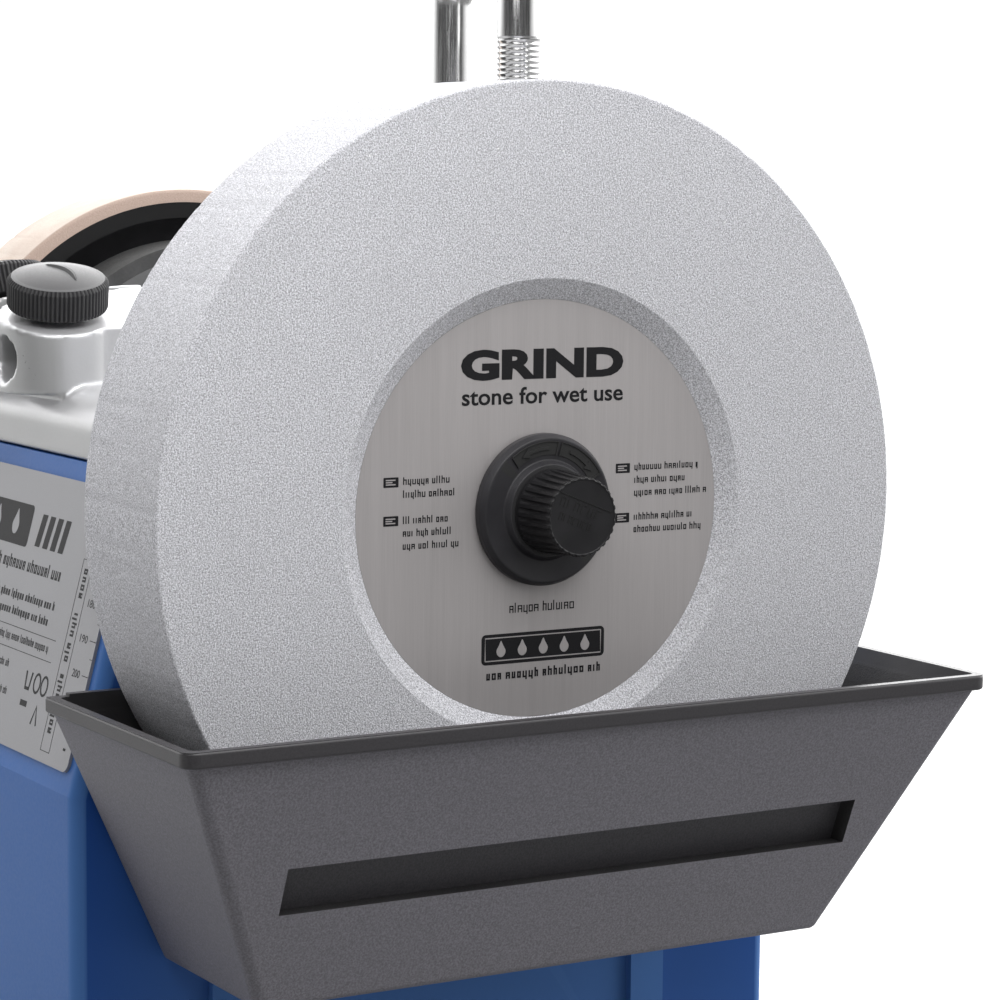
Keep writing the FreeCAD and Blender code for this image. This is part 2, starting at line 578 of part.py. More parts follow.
def make_water_trough():
    body = trough_loft(TROUGH_BOTTOM_Z, TROUGH_RIM_TOP_Z, 0)
    body = fillet_where(body, 3.0, lambda p, d: abs(d.z) > 0.5 and p.x > TROUGH_X0 + 1)
    body = fillet_where(body, 2.5, lambda p, d: p.z < TROUGH_BOTTOM_Z + 0.1 and p.x > TROUGH_X0 + 1)
    grip_back_x = TROUGH_X1 - 45
    grip = box(grip_back_x, TROUGH_X1 + 5, -GRIP_HALF_Y, GRIP_HALF_Y, GRIP_BOTTOM_Z, GRIP_TOP_Z)
    body = body.cut(grip.cut(trough_loft(TROUGH_BOTTOM_Z, TROUGH_RIM_TOP_Z, GRIP_DEPTH)))
    rim = box(TROUGH_X0, TROUGH_X1, -TROUGH_HALF_Y, TROUGH_HALF_Y,
              TROUGH_RIM_TOP_Z - TROUGH_RIM_H, TROUGH_RIM_TOP_Z)
    rim = fillet_where(rim, 3.5, lambda p, d: abs(d.z) > 0.9 and p.x > TROUGH_X0 + 1)
    rim = fillet_where(rim, 0.7, lambda p, d: abs(d.z) < 0.5)
    back_lip = box(TROUGH_X0, TROUGH_X0 + TROUGH_WALL, -TROUGH_BACK_LIP_HALF_Y, TROUGH_BACK_LIP_HALF_Y,
                   TROUGH_RIM_TOP_Z - 1, TROUGH_RIM_TOP_Z + TROUGH_BACK_LIP_H)
    body = body.fuse(rim).fuse(back_lip)
    inside = trough_loft(TROUGH_BOTTOM_Z + 2.5, TROUGH_RIM_TOP_Z + 3, TROUGH_WALL)
    inside = fillet_where(inside, 2.0, lambda p, d: abs(d.z) > 0.5)
    inside = fillet_where(inside, 2.0, lambda p, d: p.z < TROUGH_BOTTOM_Z + 2.6)
    backing = box(grip_back_x, TROUGH_X1, -GRIP_HALF_Y - TROUGH_WALL, GRIP_HALF_Y + TROUGH_WALL,
                  GRIP_BOTTOM_Z - TROUGH_WALL, GRIP_TOP_Z + TROUGH_WALL)
    backing = backing.cut(trough_loft(TROUGH_BOTTOM_Z, TROUGH_RIM_TOP_Z, GRIP_DEPTH + TROUGH_WALL))
    body = body.cut(inside.cut(backing))
    guides = []
    for sign in (-1, 1):
        for side in (-1, 1):
            inner = sign * RAIL_Y + side * (RAIL_HALF_W + 0.5)
            outer = inner + side * 2.0
            guides.append(box(WALL_RIGHT_X + 0.5, TROUGH_X0 + 0.5,
                              min(inner, outer), max(inner, outer), 84, 124))
    return fuse_all([body] + guides)


def make_trough_magnet():
    return cyl_x(WALL_RIGHT_X - 5, WALL_RIGHT_X + 0.6, 9.9, 0, 110)


def make_trough_steel_patch():
    return box(TROUGH_X0 - 1.5, TROUGH_X0, -14, 14, 98, 122)


# ---- motor ----
def motor_cyl(x0, x1, r):
    return cyl_x(x0, x1, r, MOTOR_Y, MOTOR_Z)


def make_motor_stator():
    core = motor_cyl(MOTOR_X0 + 14, MOTOR_X1 - 14, MOTOR_R)
    return core.cut(motor_cyl(MOTOR_X0, MOTOR_X1, 24.0)).cut(Part.makeCompound(make_motor_tie_bolts()))


def make_motor_windings():
    coils = []
    for x0 in (MOTOR_X0 + 5.5, MOTOR_X1 - 13.9):
        ring = motor_cyl(x0, x0 + 8.4, 35.0).cut(motor_cyl(x0 - 1, x0 + 10, 26.0))
        coils.append(fillet_where(ring, 2.5, lambda p, d: abs(d.x) < 0.5))
    return Part.makeCompound(coils)


def make_motor_end_bell(x0, x1, open_end):
    bell = motor_cyl(x0, x1, MOTOR_R - 0.5)
    pocket_x0 = x0 + 4 if open_end > 0 else x0 - 1
    pocket_x1 = x1 + 1 if open_end > 0 else x1 - 4
    bell = bell.cut(motor_cyl(pocket_x0, pocket_x1, MOTOR_R - 4))
    if open_end > 0:
        bearing_seat = motor_cyl(x0, x0 + 9, 12.5)
    else:
        bearing_seat = motor_cyl(x1 - 9, x1, 12.5)
    bell = bell.fuse(bearing_seat)
    slot = cyl_x(x0 - 1, x1 + 1, 5.0, MOTOR_Y + 29.0, MOTOR_Z)
    bell = ring_of_cuts(bell, 8, slot, Vector(0, MOTOR_Y, MOTOR_Z), X_AXIS)
    bell = bell.cut(motor_cyl(x0 - 1, x1 + 1, 9.52)).removeSplitter()
    return bell.cut(Part.makeCompound(make_motor_tie_bolts()))


def make_motor_bearings():
    rings = []
    for x0 in (MOTOR_X0 + 1.0, MOTOR_X1 - 8.0):
        rings.append(motor_cyl(x0, x0 + 7, 9.5).cut(motor_cyl(x0 - 1, x0 + 8, SPINDLE_R + FIT)))
    return Part.makeCompound(rings)


def make_motor_tie_bolts():
    bolts = []
    for index in range(4):
        angle = math.radians(45 + 90 * index)
        y = MOTOR_Y + (MOTOR_R - 4.5) * math.cos(angle)
        z = MOTOR_Z + (MOTOR_R - 4.5) * math.sin(angle)
        bolts.append(cyl_x(MOTOR_X0 - 4.6, MOTOR_X1 + 4.6, 2.0, y, z))
    return bolts


def make_motor_swing_arm():
    """Two side plates and a bridge that hang the motor on its pivot pin."""
    plates = []
    for x0 in (MOTOR_X0 - 3.2, MOTOR_X1 + 0.2):
        plate = cyl_x(x0, x0 + 3, MOTOR_R - 1, MOTOR_Y, MOTOR_Z)
        eye = cyl_x(x0, x0 + 3, 10.0, PIVOT_Y, PIVOT_Z)
        arm = prism_x([(PIVOT_Y - 4, PIVOT_Z + 9), (PIVOT_Y + 4, PIVOT_Z - 9), (MOTOR_Y + 6, MOTOR_Z - 32),
                       (MOTOR_Y - 12, MOTOR_Z + 32)], x0, x0 + 3)
        plates.append(fuse_all([plate, eye, arm]))
    bridge = box(MOTOR_X0 - 1, MOTOR_X1 + 1, PIVOT_Y + 9, PIVOT_Y + 21, PIVOT_Z - 4, PIVOT_Z - 1)
    foot = box(MOTOR_X0 - 1, MOTOR_X1 + 1, MOTOR_Y - 2, MOTOR_Y + 8,
               MOTOR_Z - MOTOR_R - 4, MOTOR_Z - MOTOR_R - 1)
    posts = []
    for x0 in (MOTOR_X0 - 3.2, MOTOR_X1 + 0.2):
        posts.append(box(x0, x0 + 3, MOTOR_Y - 2, MOTOR_Y + 8, MOTOR_Z - MOTOR_R - 4, MOTOR_Z - 20))
    frame = fuse_all(plates + [bridge, foot] + posts)
    frame = frame.cut(motor_cyl(MOTOR_X0 - 5, MOTOR_X1 + 5, 14.0))
    frame = frame.cut(cyl_x(MOTOR_X0 - 5, MOTOR_X1 + 5, PIVOT_R + FIT, PIVOT_Y, PIVOT_Z))
    return frame.cut(Part.makeCompound(make_motor_tie_bolts()))


def make_motor_shaft():
    shaft = motor_cyl(DRIVE_X0 + 1.5, MOTOR_X1 + 18, SPINDLE_R)
    return shaft.makeChamfer(0.6, [e for e in shaft.Edges if abs(e.tangentAt(e.FirstParameter).x) < 0.5])


def make_rotor_core():
    core = motor_cyl(MOTOR_X0 + 13, MOTOR_X1 - 13, 23.6)
    return core.cut(motor_cyl(MOTOR_X0, MOTOR_X1, SPINDLE_R))


def make_cooling_fan():
    x0 = MOTOR_X1 + 5
    disc = motor_cyl(x0, x0 + 1.5, 30.0)
    hub = motor_cyl(x0, x0 + 11, 9.0)
    pieces = [disc, hub]
    for index in range(9):
        blade = box(x0, x0 + 10, MOTOR_Y + 8, MOTOR_Y + 30, MOTOR_Z - 0.8, MOTOR_Z + 0.8)
        blade.rotate(Vector(0, MOTOR_Y, MOTOR_Z), X_AXIS, 40.0 * index)
        pieces.append(blade)
    fan = fuse_all(pieces)
    return fan.cut(motor_cyl(x0 - 1, x0 + 12, SPINDLE_R))


def make_pivot_bracket():
    floor_z = HOUSING_BOTTOM_Z + 3
    x0 = MOTOR_X0 - 8.5
    x1 = MOTOR_X1 + 8.5
    base = box(x0, x1, PIVOT_Y - 12, PIVOT_Y + 12, floor_z, floor_z + 3)
    ears = []
    for x in (x0, x1 - 3):
        ear = box(x, x + 3, PIVOT_Y - 9, PIVOT_Y + 9, floor_z, PIVOT_Z)
        ears.append(ear.fuse(cyl_x(x, x + 3, 9.0, PIVOT_Y, PIVOT_Z)))
    bracket = fuse_all([base] + ears)
    return bracket.cut(cyl_x(x0 - 1, x1 + 1, PIVOT_R, PIVOT_Y, PIVOT_Z))


def make_pivot_pin():
    return cyl_x(MOTOR_X0 - 11, MOTOR_X1 + 11, PIVOT_R, PIVOT_Y, PIVOT_Z)


def make_motor_spring():
    """Compression spring under the motor frame, standing on the base plate."""
    z0 = HOUSING_BOTTOM_Z + 3
    z1 = MOTOR_Z - MOTOR_R - 4 - 5.5
    turns = 7
    wire_r = 1.1
    pitch = (z1 - z0 - 4.4 - 2 * wire_r) / turns
    path = Part.makeHelix(pitch, pitch * turns, 7.0)
    profile = Part.Wire([Part.makeCircle(wire_r, Vector(7.0, 0, 0), Y_AXIS)])
    coil = Part.Wire(path.Edges).makePipeShell([profile], True, True)
    coil.translate(Vector(-17, MOTOR_Y + 3, z0 + 2.2 + wire_r))
    seat = cyl_z(z0, z0 + 2.0, 9.0, -17, MOTOR_Y + 3)
    cap = cyl_z(z1 - 2.0, z1, 9.0, -17, MOTOR_Y + 3)
    rod = cyl_z(z0, z1, 3.0, -17, MOTOR_Y + 3)
    return fuse_all([seat, cap, rod]), coil


# ---- electrical parts ----
def make_capacitor():
    can = cyl_x(-20, 26, 15.0, -74, 34)
    return fillet_where(can, 2.0, lambda p, d: abs(d.x) < 0.5)


def make_capacitor_clip():
    ring = tube_x(-2, 8, 17.0, 15.1, -74, 34)
    foot = box(-2, 8, -86, -62, HOUSING_BOTTOM_Z + 3, HOUSING_BOTTOM_Z + 5)
    stem = box(-2, 8, -77, -71, HOUSING_BOTTOM_Z + 3, 18.0)
    return fuse_all([ring, foot, stem])


def make_terminal_block():
    block = box(-8, 28, 72, 88, HOUSING_BOTTOM_Z + 3, 24)
    cuts = [box(-8 + 12 * i + 1.5, -8 + 12 * i + 10.5, 71, 76, 16, 25) for i in range(3)]
    return block.cut(Part.makeCompound(cuts))


def make_switch_frame():
    bezel = box(SWITCH_X - 15.5, SWITCH_X + 15.5, HOUSING_HALF_Y, HOUSING_HALF_Y + 2,
                SWITCH_Z - 12.5, SWITCH_Z + 12.5)
    bezel = fillet_where(bezel, 2.0, lambda p, d: abs(d.y) > 0.9)
    body = box(SWITCH_X - 13, SWITCH_X + 13, 80, HOUSING_HALF_Y + 1, SWITCH_Z - 10, SWITCH_Z + 10)
    well = box(SWITCH_X - 11, SWITCH_X + 11, 88, HOUSING_HALF_Y + 5, SWITCH_Z - 8, SWITCH_Z + 8)
    bearing = cyl_x(SWITCH_X - 12.4, SWITCH_X + 12.4, TRUNNION_R + FIT, ROCKER_AXIS_Y, SWITCH_Z)
    return bezel.fuse(body).cut(well).removeSplitter().cut(bearing)


def make_power_rocker():
    """Rocker paddle, resting in its off position, turning about an axis along X."""
    y0 = HOUSING_HALF_Y - 5
    paddle = box(SWITCH_X - 10.6, SWITCH_X + 10.6, y0, HOUSING_HALF_Y + 3.2, SWITCH_Z - 6.6, SWITCH_Z + 6.6)
    scoop = cyl_x(SWITCH_X - 11, SWITCH_X + 11, 30.0, HOUSING_HALF_Y + 31.4, SWITCH_Z)
    trunnions = cyl_x(SWITCH_X - 12.2, SWITCH_X + 12.2, TRUNNION_R, ROCKER_AXIS_Y, SWITCH_Z)
    paddle = paddle.cut(scoop).fuse(trunnions).removeSplitter()
    paddle.rotate(Vector(SWITCH_X, ROCKER_AXIS_Y, SWITCH_Z), X_AXIS, 8)
    return paddle


def make_cable_gland():
    nut = Part.makePolygon([Vector(GLAND_X + 9 * math.cos(math.radians(60 * i)), HOUSING_HALF_Y,
                                   GLAND_Z + 9 * math.sin(math.radians(60 * i))) for i in range(7)])
    body = Part.Face(nut).extrude(Vector(0, 3.5, 0))
    barrel = cyl_y(88, HOUSING_HALF_Y + 1, 7.0, GLAND_X, GLAND_Z)
    cone = Part.makeCone(6.5, 5.0, 3.0, Vector(GLAND_X, HOUSING_HALF_Y + 3.5, GLAND_Z), Y_AXIS)
    gland = fuse_all([body, barrel, cone])
    return gland.cut(cyl_y(80, 115, 3.2, GLAND_X, GLAND_Z))


# ---- export ----
def front_knob_nodes():
    nodes = {}
    for name, x in SLEEVE_XS.items():
        nodes["front_lock_knob_" + name] = place_front(make_lock_knob(), x)
        nodes["front_lock_screw_" + name] = place_front(make_lock_screw(5.4), x)
        nodes["rear_lock_knob_" + name] = place_rear(make_lock_knob(), x)
        nodes["rear_lock_screw_" + name] = place_rear(make_lock_screw(9.0), x)
    return nodes


def build_nodes():
    spring_guide, spring_coil = make_motor_spring()
    nodes = {
        "grindstone": make_grindstone(),
        "label_disc": make_label_disc(),
        "stone_lock_flange": make_stone_lock_flange(),
        "stone_lock_knob": make_stone_lock_knob(),
        "stone_inner_flange": make_stone_inner_flange(),
        "main_shaft": make_main_shaft(),
        "shaft_bush_right": make_bush(WALL_RIGHT_X - 1.5 - BUSH_LEN),
        "shaft_bush_left": make_bush(WALL_LEFT_X + 1.5),
        "drive_wheel_hub": make_drive_wheel_hub(),
        "drive_wheel_tread": make_drive_wheel_tread(),
        "honing_wheel_body": make_honing_wheel_body(),
        "honing_leather": make_honing_leather(),
        "honing_nut": make_honing_nut(),
        "cast_top": make_cast_top(),
        "support_bar": make_support_bar(),
        "micro_adjust_nut": make_micro_nut(),
        "housing": make_housing().cut(make_vent_slots()),
        "base_plate": make_base_plate(),
        "rubber_feet": make_rubber_feet(),
        "foot_screws": make_foot_screws(),
        "top_screws": make_top_screws(),
        "label_plate": make_label_plate(),
        "water_trough": make_water_trough(),
        "trough_magnet": make_trough_magnet(),
        "trough_steel_patch": make_trough_steel_patch(),
        "motor_stator": make_motor_stator(),
        "motor_windings": make_motor_windings(),
        "motor_end_bell_drive": make_motor_end_bell(MOTOR_X0, MOTOR_X0 + 13.9, 1),
        "motor_end_bell_fan": make_motor_end_bell(MOTOR_X1 - 13.9, MOTOR_X1, -1),
        "motor_bearings": make_motor_bearings(),
        "motor_swing_arm": make_motor_swing_arm(),
        "motor_tie_bolts": Part.makeCompound(make_motor_tie_bolts()),
        "motor_shaft": make_motor_shaft(),
        "rotor_core": make_rotor_core(),
        "cooling_fan": make_cooling_fan(),
        "motor_pivot_bracket": make_pivot_bracket(),
        "motor_pivot_pin": make_pivot_pin(),
        "spring_guide": spring_guide,
        "motor_spring": spring_coil,
        "capacitor": make_capacitor(),
        "capacitor_clip": make_capacitor_clip(),
        "terminal_block": make_terminal_block(),
        "switch_frame": make_switch_frame(),
        "power_rocker": make_power_rocker(),
        "cable_gland": make_cable_gland(),
    }
    nodes.update(front_knob_nodes())
    return nodes


os.makedirs("parts", exist_ok=True)
for node_name, node_shape in build_nodes().items():
    node_shape.exportStep("parts/" + node_name + ".step")
    print(node_name, node_shape.isValid(), len(node_shape.Solids))
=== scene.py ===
import json
import math
import random

import bpy
import bmesh
from mathutils import Matrix, Quaternion, Vector, noise


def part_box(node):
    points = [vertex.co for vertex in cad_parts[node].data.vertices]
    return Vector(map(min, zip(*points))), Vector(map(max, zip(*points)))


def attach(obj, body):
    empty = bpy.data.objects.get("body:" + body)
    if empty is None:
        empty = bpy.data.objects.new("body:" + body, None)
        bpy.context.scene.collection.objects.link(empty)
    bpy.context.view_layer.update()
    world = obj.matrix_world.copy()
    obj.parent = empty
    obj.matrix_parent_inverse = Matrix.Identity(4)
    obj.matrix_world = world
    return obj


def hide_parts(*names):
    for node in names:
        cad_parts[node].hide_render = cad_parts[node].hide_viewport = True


MM = 0.001

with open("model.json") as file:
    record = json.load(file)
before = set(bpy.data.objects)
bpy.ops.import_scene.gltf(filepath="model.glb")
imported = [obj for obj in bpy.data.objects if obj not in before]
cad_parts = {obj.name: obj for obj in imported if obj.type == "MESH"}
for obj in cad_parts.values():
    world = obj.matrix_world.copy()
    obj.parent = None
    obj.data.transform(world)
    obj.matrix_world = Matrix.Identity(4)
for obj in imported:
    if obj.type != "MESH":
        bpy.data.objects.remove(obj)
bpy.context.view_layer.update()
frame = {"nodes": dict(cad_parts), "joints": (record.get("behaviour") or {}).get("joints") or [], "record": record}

# ---- Places, all read from the frame ----
stone_low, stone_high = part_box("grindstone")
disc_low, disc_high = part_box("label_disc")
label_low, label_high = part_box("label_plate")
trough_low, trough_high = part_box("water_trough")
leather_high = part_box("honing_leather")[1]
SHAFT_Y = (stone_low.y + stone_high.y) / 2
SHAFT_Z = (stone_low.z + stone_high.z) / 2
STONE_FACE_X = stone_high.x

# the trough's own coordinates tell its rim, its inside and its finger recess apart
TROUGH_RIM_DEPTH = 4.3 * MM
TROUGH_BRIM_DROP = 5.0 * MM
trough_to_local = frame["nodes"]["water_trough"].matrix_world.inverted()
TROUGH_MIDDLE = trough_to_local @ Vector(((trough_low.x + trough_high.x) / 2, 0,
                                          trough_high.z - TROUGH_BRIM_DROP))
TROUGH_RIM_UNDER = (trough_to_local @ Vector((0, 0, trough_high.z - TROUGH_RIM_DEPTH))).z


def front_wall_plane(mesh):
    """Normal and level of the trough's front wall, the outermost large face looking along +X and down."""
    large = 20 * MM * MM
    facing = [face for face in mesh.polygons
              if face.normal.x > 0.9 and face.normal.z < -0.3 and face.area > large]
    outermost = max(facing, key=lambda face: face.normal.dot(face.center))
    return outermost.normal.copy(), outermost.normal.dot(outermost.center)


TROUGH_WALL_NORMAL, TROUGH_WALL_LEVEL = front_wall_plane(frame["nodes"]["water_trough"].data)


# ---- Materials ----
class Graph:
    """The nodes of a material or a world. A material's coordinates are the object's, in metres."""

    def __init__(self, name, owners=bpy.data.materials, space="Object"):
        self.material = owners.new(name)
        self.material.use_nodes = True
        self.nodes = self.material.node_tree.nodes
        self.links = self.material.node_tree.links
        self.coordinates = self.nodes.new("ShaderNodeTexCoord").outputs[space]

    def put(self, socket, value):
        if isinstance(value, bpy.types.NodeSocket):
            self.links.new(value, socket)
        else:
            socket.default_value = value

    def set(self, **values):
        for name, value in values.items():
            self.put(self.nodes["Principled BSDF"].inputs[name.replace("_", " ")], value)

    def node(self, kind, output, inputs, **settings):
        """Add a node with its settings and inputs, and give one of its outputs."""
        node = self.nodes.new("ShaderNode" + kind)
        for name, value in settings.items():
            setattr(node, name, value)
        for socket, value in inputs.items():
            self.put(node.inputs[socket], value)
        return node.outputs[output]

    def stretch(self, scale):
        return self.node("Mapping", "Vector", {"Vector": self.coordinates, "Scale": scale})

    def noise(self, size_mm, detail=2.0, roughness=0.5, vector=None):
        return self.node("TexNoise", "Fac", {
            "Scale": 1.0 / (size_mm * MM), "Detail": detail, "Roughness": roughness,
            "Vector": vector or self.coordinates})

    def cells(self, size_mm, output="Distance"):
        return self.node("TexVoronoi", output, {"Scale": 1.0 / (size_mm * MM), "Vector": self.coordinates})

    def remap(self, value, low, high, to_low=0.0, to_high=1.0, curve="LINEAR"):
        return self.node("MapRange", "Result", {
            "Value": value, "From Min": low, "From Max": high, "To Min": to_low, "To Max": to_high},
            interpolation_type=curve)

    def spread(self, texture, to_low, to_high):
        """The middle of a noise, stretched over a range."""
        return self.remap(texture, 0.3, 0.7, to_low, to_high)

    def math(self, operation, first, second):
        return self.node("Math", "Value", {0: first, 1: second}, operation=operation)

    def subtract(self, first, second):
        return self.node("VectorMath", "Vector", {0: first, 1: second}, operation="SUBTRACT")

    def dot(self, first, second):
        return self.node("VectorMath", "Value", {0: first, 1: second}, operation="DOT_PRODUCT")

    def axis(self, name, vector):
        """The X, Y or Z of a vector."""
        return self.node("SeparateXYZ", name, {"Vector": vector})

    def geometry(self, output):
        return self.node("NewGeometry", output, {})

    def camera_ray(self):
        """1 where the camera looks straight at it, 0 for light on its way elsewhere."""
        return self.node("LightPath", "Is Camera Ray", {})

    def mix(self, factor, first, second):
        return self.node("Mix", "Result", {"Factor": factor, "A": first, "B": second}, data_type="RGBA")

    def blend(self, texture, first, second, low=0.3, high=0.7):
        """Two colours mixed by a noise, over the part of its range between low and high."""
        return self.mix(self.remap(texture, low, high), first, second)

    def bump(self, height, distance_mm, strength):
        return self.node("Bump", "Normal", {
            "Strength": strength, "Distance": distance_mm * MM, "Height": height})

    def edge_wear(self, low=0.51, high=0.56):
        """1 on sharp outward edges, 0 elsewhere."""
        return self.remap(self.geometry("Pointiness"), low, high)


def grey(value, tint=(1.0, 1.0, 1.0)):
    return (value * tint[0], value * tint[1], value * tint[2], 1.0)


def stone_material():
    g = Graph("stone")
    grain = g.noise(0.39, 3.0, 0.6)
    crystals = g.noise(0.22, 1.0, 0.5)
    patches = g.noise(16.0, 3.0, 0.6)
    speckle = g.math("ADD", g.math("MULTIPLY", grain, 0.62), g.math("MULTIPLY", crystals, 0.38))
    colour = g.blend(speckle, grey(0.33, (1.0, 1.0, 1.07)), grey(0.85, (0.99, 0.99, 1.04)), 0.40, 0.60)
    colour = g.mix(g.remap(patches, 0.35, 0.7, 0.0, 0.12), colour, grey(0.5, (1.0, 1.0, 1.04)))
    colour = g.blend(g.cells(0.4, "Color"), colour, grey(0.95), 0.95, 0.98)
    g.set(Base_Color=colour, Roughness=0.92, Specular_IOR_Level=0.25)
    g.set(Normal=g.bump(speckle, 0.32, 1.0))
    return g.material


def brushed_disc_material():
    g = Graph("brushed_disc")
    streak = g.noise(0.18, 2.0, 0.6, g.stretch((1.0, 1.0, 0.012)))
    broad = g.noise(2.2, 2.0, 0.5, g.stretch((1.0, 1.0, 0.02)))
    cloud = g.noise(22.0)
    warm = (1.03, 0.98, 0.98)
    lines = g.math("ADD", g.math("MULTIPLY", streak, 0.6), g.math("MULTIPLY", broad, 0.4))
    g.set(Base_Color=g.blend(lines, grey(0.43, warm), grey(0.50, warm)), Metallic=0.4)
    g.set(Roughness=g.math("ADD", g.spread(lines, 0.36, 0.46), g.spread(cloud, -0.02, 0.03)))
    g.set(Normal=g.bump(lines, 0.01, 0.25), Anisotropic=0.6)
    return g.material


def black_plastic_material(name, low, high, worn, specular=0.28):
    g = Graph(name)
    grain = g.noise(0.35, 3.0, 0.6)
    cloud = g.noise(9.0, 3.0)
    colour = g.blend(cloud, grey(low, (1.0, 0.97, 1.09)), grey(high, (1.0, 0.97, 1.08)))
    g.set(Base_Color=g.mix(g.edge_wear(), colour, grey(worn)), Specular_IOR_Level=specular)
    g.set(Roughness=g.math("ADD", g.spread(grain, 0.34, 0.46), g.spread(cloud, -0.03, 0.03)))
    g.set(Normal=g.bump(grain, 0.03, 0.5))
    return g.material


def knob_plastic_material():
    """Clamp knob plastic: polished on the domed top, where a painted highlight lightens the colour of
    upward-facing surfaces; matt on the ribbed side.
    """
    g = Graph("knob_plastic")
    grain = g.noise(0.4, 3.0, 0.6)
    cloud = g.noise(6.0, 3.0)
    # painted highlight: upward-facing surfaces get a lighter colour, and a lower roughness for the polish
    top = g.remap(g.axis("Z", g.geometry("Normal")), 0.6, 0.85)
    side = g.blend(cloud, grey(0.020, (1.0, 0.98, 1.06)), grey(0.030, (1.0, 0.98, 1.05)))
    side = g.mix(g.edge_wear(), side, grey(0.07))
    g.set(Base_Color=g.mix(top, side, grey(0.052, (1.0, 0.98, 1.03))), Specular_IOR_Level=0.18)
    g.set(Roughness=g.math("SUBTRACT", g.spread(grain, 0.44, 0.56), g.math("MULTIPLY", top, 0.14)))
    g.set(Normal=g.bump(grain, 0.02, 0.35))
    return g.material


def trough_material():
    """Grained grey outside, smoother dark rim, and painted shade darkening the back of the finger recess and the
    inside.
    """
    g = Graph("trough_plastic")
    grain = g.noise(0.5, 3.0, 0.65)
    cloud = g.noise(35.0, 3.0)
    rim = g.remap(g.axis("Z", g.coordinates), TROUGH_RIM_UNDER - 0.4 * MM, TROUGH_RIM_UNDER + 0.4 * MM)
    colour = g.blend(grain, grey(0.132, (1.0, 0.97, 1.10)), grey(0.24, (1.0, 0.97, 1.09)), 0.36, 0.64)
    colour = g.mix(g.remap(cloud, 0.35, 0.65, 0.0, 0.2), colour, grey(0.19, (1.0, 0.97, 1.09)))
    band = g.blend(grain, grey(0.028, (1.03, 0.97, 1.07)), grey(0.046, (1.03, 0.97, 1.07)))

    normal = g.geometry("Normal")
    # painted shade: faces inside the trough get a dark colour for the shade within it
    inside = g.remap(g.dot(g.subtract(g.coordinates, TROUGH_MIDDLE), normal), 2.0 * MM, -2.0 * MM)
    along_wall = g.dot(g.coordinates, TROUGH_WALL_NORMAL)
    behind = g.remap(along_wall, TROUGH_WALL_LEVEL - 0.5 * MM, TROUGH_WALL_LEVEL - 3.0 * MM)
    # painted shade: the back wall of the finger recess is darkened for the shade in the recess
    recess = g.math("MULTIPLY", behind, g.remap(g.axis("X", normal), 0.5, 0.7))
    recess_shade = g.blend(grain, grey(0.052, (1.0, 0.97, 1.08)), grey(0.085, (1.0, 0.97, 1.08)), 0.36, 0.64)
    inside_shade = g.blend(cloud, grey(0.020, (1.0, 0.97, 1.03)), grey(0.036, (1.0, 0.97, 1.0)), 0.35, 0.65)
    outside = g.mix(rim, g.mix(recess, colour, recess_shade), band)
    g.set(Base_Color=g.mix(inside, outside, inside_shade))
    g.set(Roughness=g.math("SUBTRACT", g.spread(grain, 0.5, 0.66), g.math("MULTIPLY", rim, 0.16)))
    coarse = g.math("SUBTRACT", 1.0, g.math("MULTIPLY", rim, 0.8))
    g.set(Normal=g.bump(g.math("MULTIPLY", grain, coarse), 0.12, 0.8))
    return g.material


def blue_material():
    g = Graph("blue_plastic")
    peel = g.noise(0.9)
    cloud = g.noise(40.0, 3.0)
    colour = g.blend(cloud, (0.009, 0.060, 0.29, 1.0), (0.013, 0.072, 0.34, 1.0))
    g.set(Base_Color=g.mix(g.edge_wear(0.52, 0.6), colour, (0.08, 0.2, 0.5, 1.0)))
    g.set(Roughness=g.spread(peel, 0.40, 0.50), Specular_IOR_Level=0.12)
    g.set(Normal=g.bump(peel, 0.03, 0.35))
    return g.material


def cast_material(name, low, high, rough):
    """Die-cast metal, with painted shade darkening its upright sides against its top."""
    g = Graph(name)
    skin = g.noise(0.7, 4.0, 0.6)
    cloud = g.noise(14.0, 4.0, 0.55)
    colour = g.blend(cloud, grey(low, (1.0, 1.0, 1.02)), grey(high, (1.0, 1.0, 1.02)))
    colour = g.mix(g.edge_wear(0.53, 0.62), colour, grey(0.78))
    # painted shade: upright faces are darkened in colour for the light that falls from above
    upright = g.remap(g.axis("Z", g.geometry("Normal")), 0.45, 0.1, 0.0, 0.7)
    colour = g.mix(upright, colour, grey(low * 0.66, (1.0, 1.01, 1.0)))
    g.set(Base_Color=colour, Metallic=0.55, Normal=g.bump(skin, 0.05, 0.4))
    g.set(Roughness=g.math("ADD", g.spread(skin, rough - 0.05, rough + 0.06), g.spread(cloud, -0.03, 0.04)))
    return g.material


def metal_material(name, low, high, rough):
    """Turned or drawn steel, with its grain along local Z."""
    g = Graph(name)
    streak = g.noise(0.3, 3.0, 0.6, g.stretch((1.0, 1.0, 0.03)))
    cloud = g.noise(10.0, 3.0)
    colour = g.blend(streak, grey(low), grey(high))
    g.set(Base_Color=g.mix(g.remap(cloud, 0.4, 0.75, 0.0, 0.3), colour, grey(low * 0.8)), Metallic=0.95)
    g.set(Roughness=g.spread(streak, rough - 0.05, rough + 0.08), Normal=g.bump(streak, 0.01, 0.3))
    return g.material


